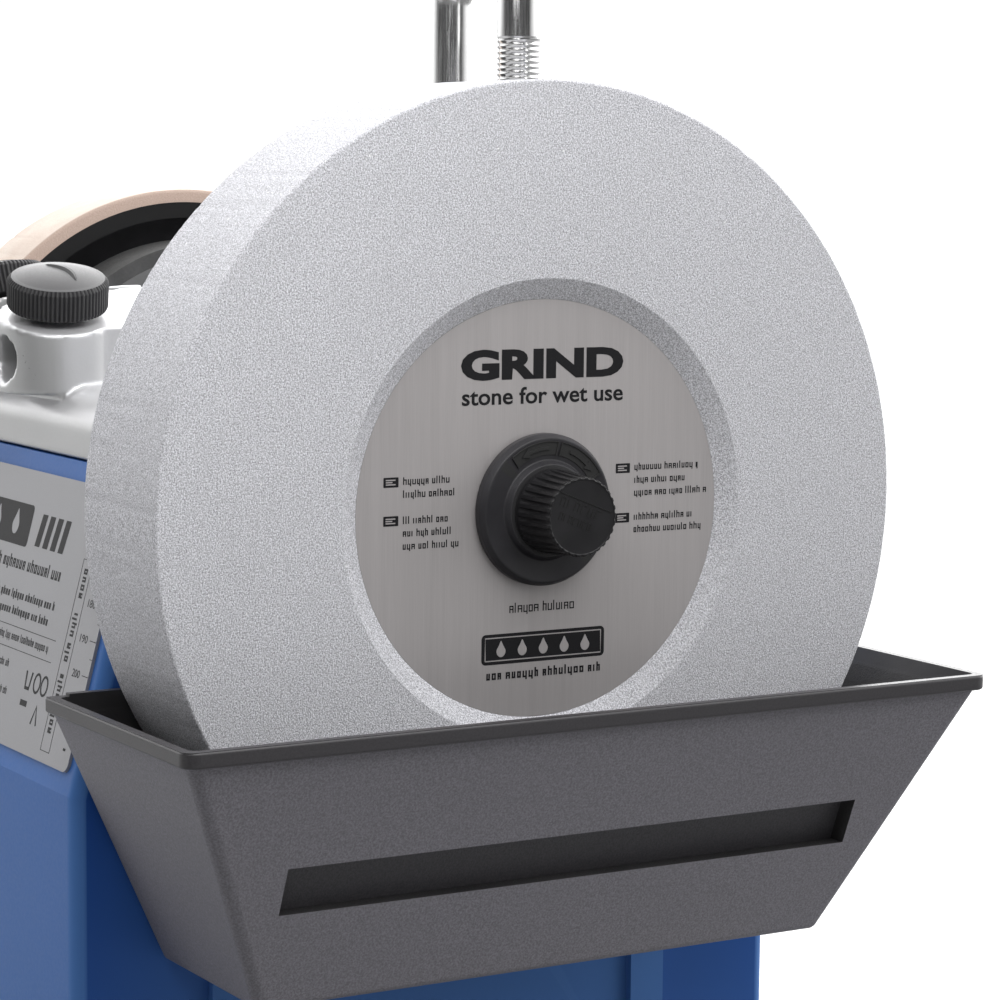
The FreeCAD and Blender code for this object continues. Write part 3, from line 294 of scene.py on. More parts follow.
def leather_material():
    """Pale tan hide, darker along the cut edge that faces the housing."""
    g = Graph("leather")
    pores = g.cells(0.8)
    fibre = g.noise(0.35, 4.0, 0.7)
    cloud = g.noise(12.0, 4.0, 0.6)
    colour = g.blend(cloud, (0.74, 0.62, 0.54, 1.0), (0.85, 0.76, 0.68, 1.0))
    colour = g.mix(g.remap(fibre, 0.35, 0.65, 0.0, 0.35), colour, (0.58, 0.44, 0.36, 1.0))
    cut = g.remap(g.axis("X", g.coordinates), leather_high.x - 1.3 * MM, leather_high.x - 0.5 * MM)
    edge = g.blend(fibre, (0.45, 0.33, 0.27, 1.0), (0.58, 0.45, 0.38, 1.0))
    height = g.math("ADD", g.math("MULTIPLY", pores, 0.5), fibre)
    g.set(Base_Color=g.mix(cut, colour, edge), Roughness=g.spread(fibre, 0.72, 0.9))
    g.set(Normal=g.bump(height, 0.12, 0.6))
    return g.material


def rubber_material():
    g = Graph("rubber")
    grain = g.noise(0.6, 3.0)
    dust = g.noise(7.0, 4.0, 0.6)
    g.set(Base_Color=g.mix(g.remap(dust, 0.4, 0.7, 0.0, 0.5), grey(0.045), grey(0.085)))
    g.set(Roughness=g.spread(grain, 0.6, 0.78), Normal=g.bump(grain, 0.05, 0.4))
    return g.material


def plastic_material(name, low, high, rough=0.45):
    g = Graph(name)
    grain = g.noise(0.5, 3.0)
    g.set(Base_Color=g.blend(g.noise(12.0, 3.0), low, high))
    g.set(Roughness=g.spread(grain, rough - 0.05, rough + 0.08), Normal=g.bump(grain, 0.03, 0.4))
    return g.material


def label_material():
    g = Graph("label_plate")
    fleck = g.noise(0.16, 2.0, 0.6)
    cloud = g.noise(30.0, 3.0)
    colour = g.blend(fleck, grey(0.27, (1.0, 1.0, 1.05)), grey(0.33, (1.0, 1.0, 1.05)))
    g.set(Base_Color=g.mix(g.spread(cloud, 0.0, 0.15), colour, grey(0.25)), Metallic=0.25)
    g.set(Roughness=g.spread(fleck, 0.42, 0.52), Normal=g.bump(fleck, 0.01, 0.3))
    return g.material


def ink_material():
    g = Graph("dark_ink")
    print_grain = g.noise(0.2, 3.0, 0.6)
    colour = g.blend(print_grain, grey(0.010, (1.0, 0.98, 1.1)), grey(0.018, (1.0, 0.98, 1.1)), 0.35)
    g.set(Base_Color=colour, Specular_IOR_Level=0.15)
    g.set(Roughness=g.spread(print_grain, 0.42, 0.6), Normal=g.bump(print_grain, 0.01, 0.3))
    return g.material


def lamination_material():
    g = Graph("laminations")
    sheets = g.noise(0.5, 1.0, 0.5, g.stretch((1.0, 0.02, 0.02)))
    cloud = g.noise(9.0, 3.0)
    colour = g.blend(sheets, grey(0.12), grey(0.28), 0.4, 0.6)
    colour = g.mix(g.remap(cloud, 0.4, 0.7, 0.0, 0.3), colour, (0.16, 0.10, 0.07, 1.0))
    g.set(Base_Color=colour, Metallic=0.8)
    g.set(Roughness=g.spread(sheets, 0.4, 0.6), Normal=g.bump(sheets, 0.1, 0.8))
    return g.material


def winding_material():
    g = Graph("copper_wire")
    wires = g.noise(0.7, 1.0, 0.5, g.stretch((1.0, 0.25, 1.0)))
    cloud = g.noise(6.0, 3.0)
    colour = g.blend(wires, (0.25, 0.08, 0.03, 1.0), (0.72, 0.30, 0.12, 1.0), 0.4, 0.6)
    colour = g.mix(g.remap(cloud, 0.4, 0.7, 0.0, 0.4), colour, (0.35, 0.12, 0.04, 1.0))
    g.set(Base_Color=colour, Metallic=0.7)
    g.set(Roughness=g.spread(wires, 0.3, 0.5), Normal=g.bump(wires, 0.3, 0.9))
    return g.material


MATERIALS = {
    "grindstone": stone_material(),
    "label_disc": brushed_disc_material(),
    "black_plastic": black_plastic_material("black_plastic", 0.015, 0.024, 0.034),
    "flange_plastic": black_plastic_material("flange_plastic", 0.026, 0.037, 0.034),
    "wheel_plastic": black_plastic_material("wheel_plastic", 0.010, 0.016, 0.014, 0.16),
    "grip_plastic": black_plastic_material("grip_plastic", 0.011, 0.017, 0.014),
    "knob_plastic": knob_plastic_material(),
    "trough_plastic": trough_material(),
    "blue_plastic": blue_material(),
    "zinc": cast_material("zinc", 0.62, 0.72, 0.34),
    "zinc_sheet": cast_material("zinc_sheet", 0.42, 0.55, 0.32),
    "steel": metal_material("steel", 0.42, 0.56, 0.28),
    "bright_steel": metal_material("bright_steel", 0.60, 0.72, 0.16),
    "screw_steel": metal_material("screw_steel", 0.38, 0.50, 0.34),
    "leather": leather_material(),
    "rubber": rubber_material(),
    "grey_plastic": plastic_material("grey_plastic", grey(0.09), grey(0.13)),
    "white_plastic": plastic_material("white_plastic", grey(0.66), grey(0.75)),
    "bush_plastic": plastic_material("bush_plastic", (0.60, 0.57, 0.48, 1.0), (0.68, 0.65, 0.55, 1.0)),
    "label_plate": label_material(),
    "laminations": lamination_material(),
    "copper_wire": winding_material(),
    "magnet": plastic_material("magnet", grey(0.04), grey(0.07), 0.55),
    "dark_ink": ink_material(),
}
# the honing wheel is moulded in a duller black than the other black pieces
OWN_LOOK = {"honing_wheel_body": "wheel_plastic"}


def dress_cad_nodes():
    """Give every CAD node its own look, or else the material of its slot in the record."""
    slots = {part["node"]: part["material_slot"] for part in frame["record"]["subparts"]}
    for name, node in frame["nodes"].items():
        node.data.materials.clear()
        node.data.materials.append(MATERIALS[OWN_LOOK.get(name, slots[name])])


# ---- Mesh helpers ----
def new_object(name, data):
    made = bpy.data.objects.new(name, data)
    bpy.context.scene.collection.objects.link(made)
    return made


def finished_mesh(holder):
    """The mesh of an object once its modifiers, or its lettering, have been worked out."""
    bpy.context.view_layer.update()
    seen = holder.evaluated_get(bpy.context.evaluated_depsgraph_get())
    return bpy.data.meshes.new_from_object(seen)


def add_mesh(name, verts, faces, material, body, sharp_deg):
    mesh = bpy.data.meshes.new(name)
    mesh.from_pydata([tuple(v) for v in verts], [], faces)
    tidy = bmesh.new()
    tidy.from_mesh(mesh)
    bmesh.ops.remove_doubles(tidy, verts=tidy.verts, dist=1e-7)
    bmesh.ops.recalc_face_normals(tidy, faces=tidy.faces)
    tidy.to_mesh(mesh)
    tidy.free()
    for polygon in mesh.polygons:
        polygon.use_smooth = True
    mesh.set_sharp_from_angle(angle=math.radians(sharp_deg))
    mesh.materials.append(material)
    piece = new_object(name, mesh)
    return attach(piece, body)


def gather(shapes):
    """Join several (verts, faces) lists into one."""
    verts = []
    faces = []
    for shape_verts, shape_faces in shapes:
        offset = len(verts)
        verts.extend(shape_verts)
        faces.extend([tuple(index + offset for index in face) for face in shape_faces])
    return verts, faces


def rounded_outline(corners, steps=5):
    """Turn corners (a, b, radius) of an outline into points, with an arc where the radius isn't 0."""
    points = []
    count = len(corners)
    for index, (a, b, radius) in enumerate(corners):
        here = Vector((a, b))
        if radius <= 0:
            points.append(here)
            continue
        before = Vector(corners[index - 1][:2]) - here
        after = Vector(corners[(index + 1) % count][:2]) - here
        half_angle = before.angle(after) / 2
        reach = radius / math.tan(half_angle)
        inward = (before.normalized() + after.normalized()).normalized()
        centre = here + inward * radius / math.sin(half_angle)
        start = here + before.normalized() * reach - centre
        end = here + after.normalized() * reach - centre
        turn = start.angle_signed(end)
        for step in range(steps + 1):
            angle = -turn * step / steps
            points.append(centre + Matrix.Rotation(angle, 2) @ start)
    return points


def axis_frame(origin, axis):
    """Matrix that puts local Z along an axis at a point, with local X as level as it can be."""
    turn = Vector(axis).normalized().to_track_quat("Z", "Y")
    return Matrix.Translation(origin) @ turn.to_matrix().to_4x4()


def skin(rings, corners, loop=False):
    """Faces over rings of corners, one after another. A loop has no ends; otherwise both ends are capped."""
    faces = []
    for ring in range(rings if loop else rings - 1):
        here = ring * corners
        there = (ring + 1) % rings * corners
        for corner in range(corners):
            after = (corner + 1) % corners
            faces.append((here + corner, here + after, there + after, there + corner))
    if not loop:
        last = (rings - 1) * corners
        faces.append(tuple(range(corners)))
        faces.append(tuple(last + corner for corner in reversed(range(corners))))
    return faces


def lathe(profile, segments, place, radius_at=None):
    """Turn a closed outline of (height, radius) points about local Z. radius_at may alter a radius."""
    verts = []
    for segment in range(segments):
        angle = 2 * math.pi * segment / segments
        for height, radius in profile:
            r = radius_at(angle, height, radius) if radius_at else radius
            verts.append(place @ Vector((r * math.cos(angle), r * math.sin(angle), height)))
    return verts, skin(segments, len(profile), loop=True)


SHAFT_FRAME = axis_frame(Vector((0, SHAFT_Y, SHAFT_Z)), (1, 0, 0))


def segments_for(full):
    """The full number of segments for a turned piece."""
    return full


def mm_profile(corners, steps=5):
    """Rounded outline of (height, radius) corners given in millimetres, as points in metres."""
    return [(p[0] * MM, p[1] * MM) for p in rounded_outline(corners, steps)]


def ripple(angle, scale, seed):
    """Smooth repeatable noise round a circle, about -1 to 1."""
    return noise.noise(Vector((math.cos(angle) * scale, math.sin(angle) * scale, seed)))


# ---- Stone, lock flange and lock knob ----
STONE_R = (stone_high.z - stone_low.z) / 2 / MM
STONE_X0 = stone_low.x / MM
STONE_X1 = stone_high.x / MM
BORE_R = 6.05
RECESS_R = 54.2
DISC_R = (disc_high.z - disc_low.z) / 2 / MM
DISC_X0 = disc_low.x / MM
DISC_X1 = disc_high.x / MM
CHIP_ZONE = 1.0


def make_grindstone():
    seat_r = DISC_R + 0.06
    profile = mm_profile([
        (STONE_X0, BORE_R, 0.0), (STONE_X0, STONE_R, 0.9), (STONE_X1, STONE_R, 0.75),
        (STONE_X1, RECESS_R, 0.5), (DISC_X1, seat_r, 0.0), (DISC_X0, seat_r, 0.0),
        (DISC_X0, BORE_R, 0.0)], 6)
    edge_start = (STONE_R - CHIP_ZONE) * MM

    def worn(angle, height, radius):
        """Small chips along the two working edges."""
        near_edge = min(height - STONE_X0 * MM, STONE_X1 * MM - height) < CHIP_ZONE * MM
        if radius < edge_start or not near_edge:
            return radius
        chip = max(0.0, ripple(angle, 42.0, height * 900) - 0.15) * 0.28
        return radius - (chip + 0.03 * ripple(angle, 14.0, 3.0)) * MM

    shape = lathe(profile, segments_for(1024), SHAFT_FRAME, worn)
    piece = add_mesh("grindstone_body", *shape, MATERIALS["grindstone"], "spindle", 40)
    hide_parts("grindstone")


FLANGE_X0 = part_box("stone_lock_flange")[0].x / MM
FLANGE_TOP_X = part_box("stone_lock_flange")[1].x / MM
FLANGE_FACE_T = 3.4
FLANGE_DISH = 0.6
DISH_OUTER_R = 16.6
DISH_INNER_R = 11.8


def dish_height(radius_mm):
    """Height of the flange's hollowed face above the disc, at a radius."""
    share = (DISH_OUTER_R - radius_mm) / (DISH_OUTER_R - DISH_INNER_R)
    return FLANGE_FACE_T - FLANGE_DISH * min(max(share, 0.0), 1.0)


def on_flange(radius_mm, angle, lift):
    """Point on the flange's face, or above it by a lift, at a radius and an angle."""
    height = (FLANGE_X0 + dish_height(radius_mm) + lift) * MM
    return SHAFT_FRAME @ Vector((radius_mm * MM * math.cos(angle), radius_mm * MM * math.sin(angle), height))


def sector(r0, r1, deg0, deg1, lift0, lift1, taper):
    """Raised curved pad on the flange, between two radii and two angles."""
    steps = max(3, int(abs(deg1 - deg0) / 2.5))
    verts = []
    for step in range(steps + 1):
        angle = math.radians(deg0 + (deg1 - deg0) * step / steps)
        for radius, lift in ((r0, lift0), (r0 + taper, lift1), (r1 - taper, lift1), (r1, lift0)):
            verts.append(on_flange(radius, angle, lift))
    return verts, skin(steps + 1, 4)


def arrow_head(radius, deg, half_width, turn_deg, thickness):
    """Triangular head that closes a curved arrow on the flange."""
    corners = []
    for lift in (0.0, thickness):
        for r, turn in ((radius - half_width, 0.0), (radius + half_width, 0.0), (radius, turn_deg)):
            corners.append(on_flange(r, math.radians(deg + turn), lift))
    return corners, [(0, 2, 1), (3, 4, 5), (0, 1, 4, 3), (1, 2, 5, 4), (2, 0, 3, 5)]


def make_lock_flange():
    face_x = FLANGE_X0 + FLANGE_FACE_T
    profile = mm_profile([
        (FLANGE_X0, BORE_R, 0.0), (FLANGE_X0, 18.0, 0.35), (FLANGE_X0 + 1.9, 17.95, 0.5),
        (face_x, 17.1, 0.55), (face_x, DISH_OUTER_R, 0.5), (face_x - FLANGE_DISH, DISH_INNER_R, 0.5),
        (FLANGE_TOP_X, 10.9, 0.35), (FLANGE_TOP_X, BORE_R, 0.0)], 5)
    shapes = [lathe(profile, segments_for(288), SHAFT_FRAME)]

    # raised pad with a rim line, split in two fields, each with a turn arrow
    for deg0, deg1 in ((81.0, 128.0), (30.0, 77.0)):
        shapes.append(sector(12.95, 16.35, deg0, deg1, -0.3, 0.14, 0.15))
        shapes.append(sector(16.05, 16.4, deg0, deg1, -0.2, 0.36, 0.1))
        for deg in (deg0, deg1):
            shapes.append(sector(13.0, 16.3, deg - 0.6, deg + 0.6, -0.2, 0.3, 0.1))
    for deg0, deg1, tip, turn in ((90.0, 112.0, 112.0, 8.0), (45.0, 67.0, 45.0, -8.0)):
        shapes.append(sector(14.25, 15.05, deg0, deg1, 0.0, 0.42, 0.08))
        shapes.append(arrow_head(14.65, tip, 1.15, turn, 0.42))
    piece = add_mesh("lock_flange_moulding", *gather(shapes), MATERIALS["flange_plastic"], "spindle", 40)
    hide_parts("stone_lock_flange")


KNOB_LOW, KNOB_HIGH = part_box("stone_lock_knob")
KNOB_X0 = KNOB_LOW.x / MM
KNOB_X1 = KNOB_HIGH.x / MM
KNOB_RIDGES = 30


def make_lock_knob():
    base_r = 9.95
    end_r = 9.3
    face_x = KNOB_X1 - 0.15
    flutes_from = (KNOB_X0 + 1.4) * MM
    profile = mm_profile([
        (KNOB_X0, BORE_R, 0.0), (KNOB_X0, base_r + 0.05, 0.25), (KNOB_X0 + 1.3, base_r, 0.2),
        (KNOB_X0 + 2.0, base_r - 0.05, 0.0), (KNOB_X0 + 6.0, base_r - 0.28, 0.0),
        (KNOB_X0 + 10.0, end_r + 0.1, 0.0), (KNOB_X1 - 1.0, end_r + 0.02, 0.0),
        (KNOB_X1, end_r - 0.05, 0.38), (KNOB_X1, end_r - 0.55, 0.1), (face_x, end_r - 0.75, 0.1),
        (face_x, 7.6, 0.0), (face_x, 1.0, 0.0), (face_x, 0.0, 0.0),
        (KNOB_X1 - 4.0, 0.0, 0.0), (KNOB_X1 - 4.0, BORE_R, 0.0)], 4)

    def fluted(angle, height, radius):
        """Flat-topped ridges with hollow grooves between them, running out to the end face."""
        if radius < (end_r - 0.45) * MM or height < flutes_from:
            return radius
        across = (angle / (2 * math.pi) * KNOB_RIDGES) % 1.0
        groove = max(0.0, 1.0 - ((across - 0.5) / 0.27) ** 2)
        rise = min(1.0, (height - flutes_from) / (0.9 * MM))
        shallower = min(1.0, max(0.45, (KNOB_X1 * MM - height) / (3.0 * MM)))
        return radius - 0.62 * MM * math.sqrt(groove) * rise * shallower

    shapes = [lathe(profile, segments_for(KNOB_RIDGES * 20), SHAFT_FRAME, fluted)]
    # raised chord on the end face, with two rows of raised strokes under it in place of the lettering
    marks_x = KNOB_X1 - 0.2
    chord = Vector((-5.8, 6.0))
    along = Vector((0.932, -0.363))
    up = Vector((0.363, 0.932))
    shapes.append(strip([chord, chord + along * 14.6], 0.13, marks_x, 0.18))
    for first, pitch, low, high, count in ((0.8, 2.0, -2.9, -0.8, 6), (1.7, 1.35, -6.0, -4.3, 7)):
        for index in range(count):
            foot = chord + along * (first + pitch * index) + up * low
            head = foot + up * (high - low)
            across = along * pitch * 0.55
            stroke = [foot, head] if index % 3 == 1 else [foot, head, head + across]
            shapes.append(strip(stroke, 0.17, marks_x, 0.14))
            if index % 2 == 0:
                shapes.append(strip([head + across, foot + across], 0.17, marks_x, 0.14))
    piece = add_mesh("stone_lock_grip", *gather(shapes), MATERIALS["grip_plastic"], "stone_lock", 32)
    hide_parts("stone_lock_knob")


def with_sides(points, half_width):
    """Each point of a flat line, with the step from it to the line's left edge."""
    for index, point in enumerate(points):
        before = Vector(points[max(index - 1, 0)])
        after = Vector(points[min(index + 1, len(points) - 1)])
        along = (after - before).normalized()
        yield Vector(point), Vector((-along.y, along.x)) * half_width


def strip(points, half_width, x0, thickness):
    """Raised line on a face square to the shaft, through points (across, up) from it, in millimetres."""
    verts = []
    for here, side in with_sides(points, half_width):
        for offset, lift in ((side, 0.0), (side * 0.6, thickness), (-side * 0.6, thickness), (-side, 0.0)):
            spot = here + offset
            verts.append(SHAFT_FRAME @ Vector((spot.x * MM, spot.y * MM, (x0 + lift) * MM)))
    return verts, skin(len(points), 4)


# ---- Printed marks ----
PRINT_LIFT = 0.01
PRINT_T = 0.03


class Print:
    """Thin raised print on a flat surface: local x to the right, y up, in millimetres."""

    def __init__(self, place):
        self.place = place
        self.verts = []
        self.faces = []

    def outline(self, points):
        base = len(self.verts)
        count = len(points)
        for height in (0.0, PRINT_T):
            for x, y in points:
                self.verts.append(self.place @ Vector((x * MM, y * MM, height * MM)))
        self.faces.append(tuple(base + index for index in reversed(range(count))))
        self.faces.append(tuple(base + count + index for index in range(count)))
        for index in range(count):
            after = (index + 1) % count
            self.faces.append((base + index, base + after, base + count + after, base + count + index))

    def bar(self, x0, x1, y0, y1, radius=0.0):
        corners = [(x0, y0, radius), (x1, y0, radius), (x1, y1, radius), (x0, y1, radius)]
        self.outline([tuple(p) for p in rounded_outline(corners, 4)] if radius else [c[:2] for c in corners])

    def line(self, points, half_width):
        """A polyline of even width."""
        edges = [(tuple(here + side), tuple(here - side)) for here, side in with_sides(points, half_width)]
        self.outline([right for left, right in edges] + [left for left, right in edges[::-1]])

    def greek(self, x0, x1, y_middle, x_height, draw, weight):
        """A line of make-believe small print: short stems and bows grouped in words, no real letters."""
        pen = x0
        in_word = 0
        word = draw.randint(3, 8)
        stem = x_height * weight
        low = y_middle - x_height / 2
        high = y_middle + x_height / 2
        rise = x_height * 0.4
        drop = x_height * 0.3
        while pen < x1 - drop:
            wide = min(x_height * draw.choice((0.3, 0.62, 0.66, 0.7, 0.74)), x1 - pen)
            kind = draw.randint(0, 4)
            narrow = wide < rise
            self.bar(pen, pen + stem, low, high + (rise if kind == 3 or narrow and kind > 1 else 0.0))
            if not narrow:
                between = (pen + stem, pen + wide - stem)
                self.bar(between[1], pen + wide, low - (drop if kind == 4 else 0.0), high)
                if kind in (0, 2, 3):
                    self.bar(*between, high - stem, high)
                if kind in (1, 2, 4):
                    self.bar(*between, low, low + stem)
                if kind == 0:
                    self.bar(*between, y_middle - stem / 2, y_middle + stem / 2)
            pen += wide + stem * 1.1
            in_word += 1
            if in_word >= word:
                pen += x_height * 0.5
                in_word = 0
                word = draw.randint(3, 8)

    def word(self, text, x0, x1, y0, y1, bolder=0.0):
        """Generic lettering in the built-in face, fitted into a box."""
        curve = bpy.data.curves.new("word", "FONT")
        curve.body = text
        curve.offset = bolder
        curve.fill_mode = "FRONT"
        curve.resolution_u = 4
        holder = new_object("word", curve)
        mesh = finished_mesh(holder)
        low = [min(v.co[i] for v in mesh.vertices) for i in (0, 1)]
        high = [max(v.co[i] for v in mesh.vertices) for i in (0, 1)]
        scale_x = (x1 - x0) / (high[0] - low[0])
        scale_y = (y1 - y0) / (high[1] - low[1])
        solid = bmesh.new()
        solid.from_mesh(mesh)
        bmesh.ops.remove_doubles(solid, verts=solid.verts, dist=1e-5)
        made = bmesh.ops.extrude_face_region(solid, geom=solid.faces[:])
        for item in made["geom"]:
            if isinstance(item, bmesh.types.BMVert):
                item.co.z += 1.0
        solid.verts.ensure_lookup_table()
        base = len(self.verts)
        for vert in solid.verts:
            x = x0 + (vert.co.x - low[0]) * scale_x
            y = y0 + (vert.co.y - low[1]) * scale_y
            self.verts.append(self.place @ Vector((x * MM, y * MM, vert.co.z * PRINT_T * MM)))
        for face in solid.faces:
            self.faces.append(tuple(base + vert.index for vert in face.verts))
        solid.free()
        bpy.data.objects.remove(holder)
        bpy.data.meshes.remove(mesh)
        bpy.data.curves.remove(curve)

    def finish(self, name, material, body):
        piece = add_mesh(name, self.verts, self.faces, material, body, 30)


def drop_points(x, y, size):
    """Outline of a water drop, point up."""
    points = []
    for index in range(28):
        t = 2 * math.pi * index / 28
        above = max(0.0, math.sin(t))
        points.append((x + size * 0.62 * math.cos(t) * (1 - 0.55 * above ** 1.5),
                       y + size * (math.sin(t) * (1.0 + 0.55 * above ** 3)) * 0.75))
    return points


def make_disc_print():
    place = SHAFT_FRAME @ Matrix.Translation((0, 0, (DISC_X1 + PRINT_LIFT) * MM))
    draw = random.Random(11)
    ink = Print(place)
    ink.word("GRIND", -22.0, 22.4, 30.6, 37.8, 0.05)
    ink.word("stone for wet use", -21.7, 22.4, 24.9, 28.9, 0.018)
    for x0, x1, y0, y1 in ((-42.1, -38.2, 6.9, 9.2), (-42.1, -38.2, -2.0, 0.3),
                           (20.7, 24.7, 7.5, 9.8), (20.7, 24.7, -4.4, -2.1)):
        ink.bar(x0, x1, y0, y1, 0.15)
    left_lines = ((-24.3, 8.0), (-23.4, 5.0), (-24.8, -1.0), (-24.3, -3.95), (-22.3, -6.95))
    right_lines = ((44.2, 8.7), (41.7, 5.6), (47.4, 2.5), (42.8, -3.3), (46.0, -6.3))
    for margin, lines in ((-37.0, left_lines), (26.0, right_lines)):
        for end, y in lines:
            ink.greek(margin, end, y, 1.25, draw, 0.22)
    ink.greek(-8.4, 10.0, -23.3, 1.7, draw, 0.17)
    ink.bar(-15.9, 18.0, -36.1, -28.9, 1.1)
    ink.greek(-14.5, 17.1, -38.9, 1.6, draw, 0.26)
    ink.finish("disc_print_dark", MATERIALS["dark_ink"], "spindle")

    # pale lines on the dark blocks, and pale drops in the badge
    light = Print(place @ Matrix.Translation((0, 0, PRINT_T * MM)))
    for x, y in ((-41.5, 8.05), (-41.5, -0.85), (21.3, 8.65), (21.3, -3.25)):
        for level, length in ((-0.65, 2.5), (-0.14, 1.7), (0.37, 2.5)):
            light.bar(x, x + length, y + level, y + level + 0.28)
    light.line([(-14.9, -35.2), (-14.9, -29.8), (17.0, -29.8)], 0.13)
    light.line([(17.0, -29.8), (17.0, -35.2), (-14.9, -35.2)], 0.13)
    for index in range(5):
        light.outline(drop_points(-10.6 + 5.8 * index, -32.9, 2.0))
    light.finish("disc_print_light", MATERIALS["label_disc"], "spindle")


def label_frame():
    """Local frame on the label's outer face: origin at the bottom edge under row x = 0."""
    thickness = 0.8 * MM
    depth = label_high.y - label_low.y
    height = label_high.z - label_low.z
    lean = math.atan2(depth, height)
    for _ in range(4):
        lean = math.atan2(depth - thickness * math.cos(lean), height - thickness * math.sin(lean))
    up = Vector((0, math.sin(lean), math.cos(lean)))
    out = Vector((0, -math.cos(lean), math.sin(lean)))
    across = up.cross(out)
    origin = Vector((0, label_low.y, label_low.z + thickness * math.sin(lean)))
    turn = Matrix((across, up, out)).transposed().to_4x4()
    return Matrix.Translation(origin) @ turn, math.cos(lean)


SCALE_TOP_Z = 181.0


def make_label_print():
    place, cos_lean = label_frame()
    place = place @ Matrix.Translation((0, 0, PRINT_LIFT * MM))
    draw = random.Random(29)
    bottom = label_low.z / MM

    def level(z):
        return (z - bottom) / cos_lean

    ink = Print(place)
    left = label_low.x / MM
    right = label_high.x / MM
    margin = left + 4.2
    # dark badge and a mark of slanted bars, over lines of small print
    ink.bar(left + 4.0, -4.5, level(163.7), level(174.0), 1.2)
    for index in range(4):
        x = 0.5 + index * 5.0
        ink.outline([(x, level(164.6)), (x + 3.1, level(164.6)),
                     (x + 4.5, level(172.6)), (x + 1.4, level(172.6))])
    ink.greek(margin, 20.5, level(159.3), 2.3, draw, 0.24)
    for x1, z in ((21.9, 152.0), (20.9, 148.1)):
        ink.greek(margin, x1, level(z), 1.55, draw, 0.3)
    ink.greek(margin, 23.3, level(142.1), 1.45, draw, 0.2)
    for z in (144.6, 139.4):
        ink.bar(margin, 26.6, level(z), level(z) + 0.16)
    for x1, z in ((2.0, 135.6), (-4.0, 132.4), (4.0, 129.2), (-8.0, 126.0), (0.0, 122.6)):
        ink.greek(margin, x1, level(z), 1.4, draw, 0.2)
    # plain pictograms: a basin, a bar, two wheels, a chevron
    ink.outline([(13.6, level(135.8)), (14.4, level(131.4)), (17.2, level(131.4)), (18.0, level(135.8)),
                 (17.2, level(135.8)), (16.7, level(132.2)), (14.9, level(132.2)), (14.4, level(135.8))])
    ink.bar(13.8, 18.0, level(127.5), level(128.9))
    for x in (21.4, 26.0):
        arc = [(x + 1.9 * math.cos(a), level(133.7) + 2.3 * math.sin(a))
               for a in [math.radians(24 * i) for i in range(16)]]
        ink.line(arc, 0.33)
    ink.line([(22.6, level(124.2)), (24.3, level(128.6)), (26.0, level(124.2))], 0.33)
    # stone size scale on the right-hand edge
    spacing = 8.15
    for index in range(6):
        z = 139.3 + spacing * index
        if z < SCALE_TOP_Z:
            ink.bar(46.0, right - 0.1, level(z) - 0.09, level(z) + 0.09)
            ink.word(str(200 - 10 * index), 40.2, 44.6, level(z) - 0.95, level(z) + 0.95)
        if z - spacing / 2 < SCALE_TOP_Z:
            ink.bar(48.2, right - 0.1, level(z - spacing / 2) - 0.08, level(z - spacing / 2) + 0.08)
    ink.bar(45.0, 46.4, level(121.6), level(122.2))
    # framed strip with upright print
    fine = 0.16
    for foot in (level(119.6), level(165.0)):
        ink.bar(32.0, 37.6, foot, foot + fine)
    for side in (32.0, 37.6 - fine):
        ink.bar(side, side + fine, level(119.6), level(165.0))
    upright = Print(place @ Matrix.Rotation(math.radians(90), 4, "Z"))
    for start, end in ((124.0, 138.0), (141.0, 153.0), (156.0, 163.0)):
        upright.greek(level(start), level(end), -34.8, 2.0, draw, 0.26)
    ink.verts, ink.faces = gather([(ink.verts, ink.faces), (upright.verts, upright.faces)])
    ink.finish("label_print_dark", MATERIALS["dark_ink"], "machine")

    light = Print(place @ Matrix.Translation((0, 0, PRINT_T * MM)))
    for index in range(4):
        light.outline(drop_points(left + 11.0 + index * 12.5, level(168.6), 3.4))
    light.finish("label_print_light", MATERIALS["label_plate"], "machine")


# ---- Honing wheel leather, support bar, clamp knobs, cast top ----
def make_leather():
    low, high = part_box("honing_leather")
    wheel_low, wheel_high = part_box("honing_wheel_body")
    x0 = low.x / MM
    x1 = high.x / MM
    outer = (high.z - low.z) / 2 / MM
    inner = (wheel_high.z - wheel_low.z) / 2 / MM + 0.02
    profile = mm_profile([(x0, inner, 0.0), (x0, outer - 0.05, 1.1), ((x0 + x1) / 2, outer, 0.0),
                          (x1, outer - 0.05, 1.1), (x1, inner, 0.0)], 5)

    def seam(angle, height, radius):
        """Skived joint across the band, and a slightly uneven hide."""
        if radius < (inner + 0.4) * MM:
            return radius
        joint = 2.2 + (height / MM - x0) / (x1 - x0) * 0.22
        gap = max(0.0, 1.0 - abs(angle - joint) / 0.009)
        return radius - (0.3 * gap + 0.06 * (1.0 + ripple(angle, 5.0, height * 60))) * MM

    shape = lathe(profile, segments_for(720), SHAFT_FRAME, seam)
    piece = add_mesh("honing_leather_band", *shape, MATERIALS["leather"], "spindle", 50)
    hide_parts("honing_leather")


def tube(points, radius_at, segments):
    """Solid rod along a path in a plane of constant Y; radius_at gives the radius at each point."""
    verts = []
    count = len(points)
    for index, point in enumerate(points):
        before = points[max(index - 1, 0)]
        after = points[min(index + 1, count - 1)]
        along = (after - before).normalized()
        side = Vector((0, 1, 0))
        up = along.cross(side)
        for step in range(segments):
            angle = 2 * math.pi * step / segments
            r = radius_at(index, angle)
            verts.append(point + side * (r * math.cos(angle)) + up * (r * math.sin(angle)))
    return verts, skin(count, segments)


LEG_SPACING = 37.0
BAR_BEND = 14.0
ROD_CHAMFER = 0.8
THREAD_PITCH = 1.5
THREAD_DEPTH = 0.62
THREAD_RING = 0.25


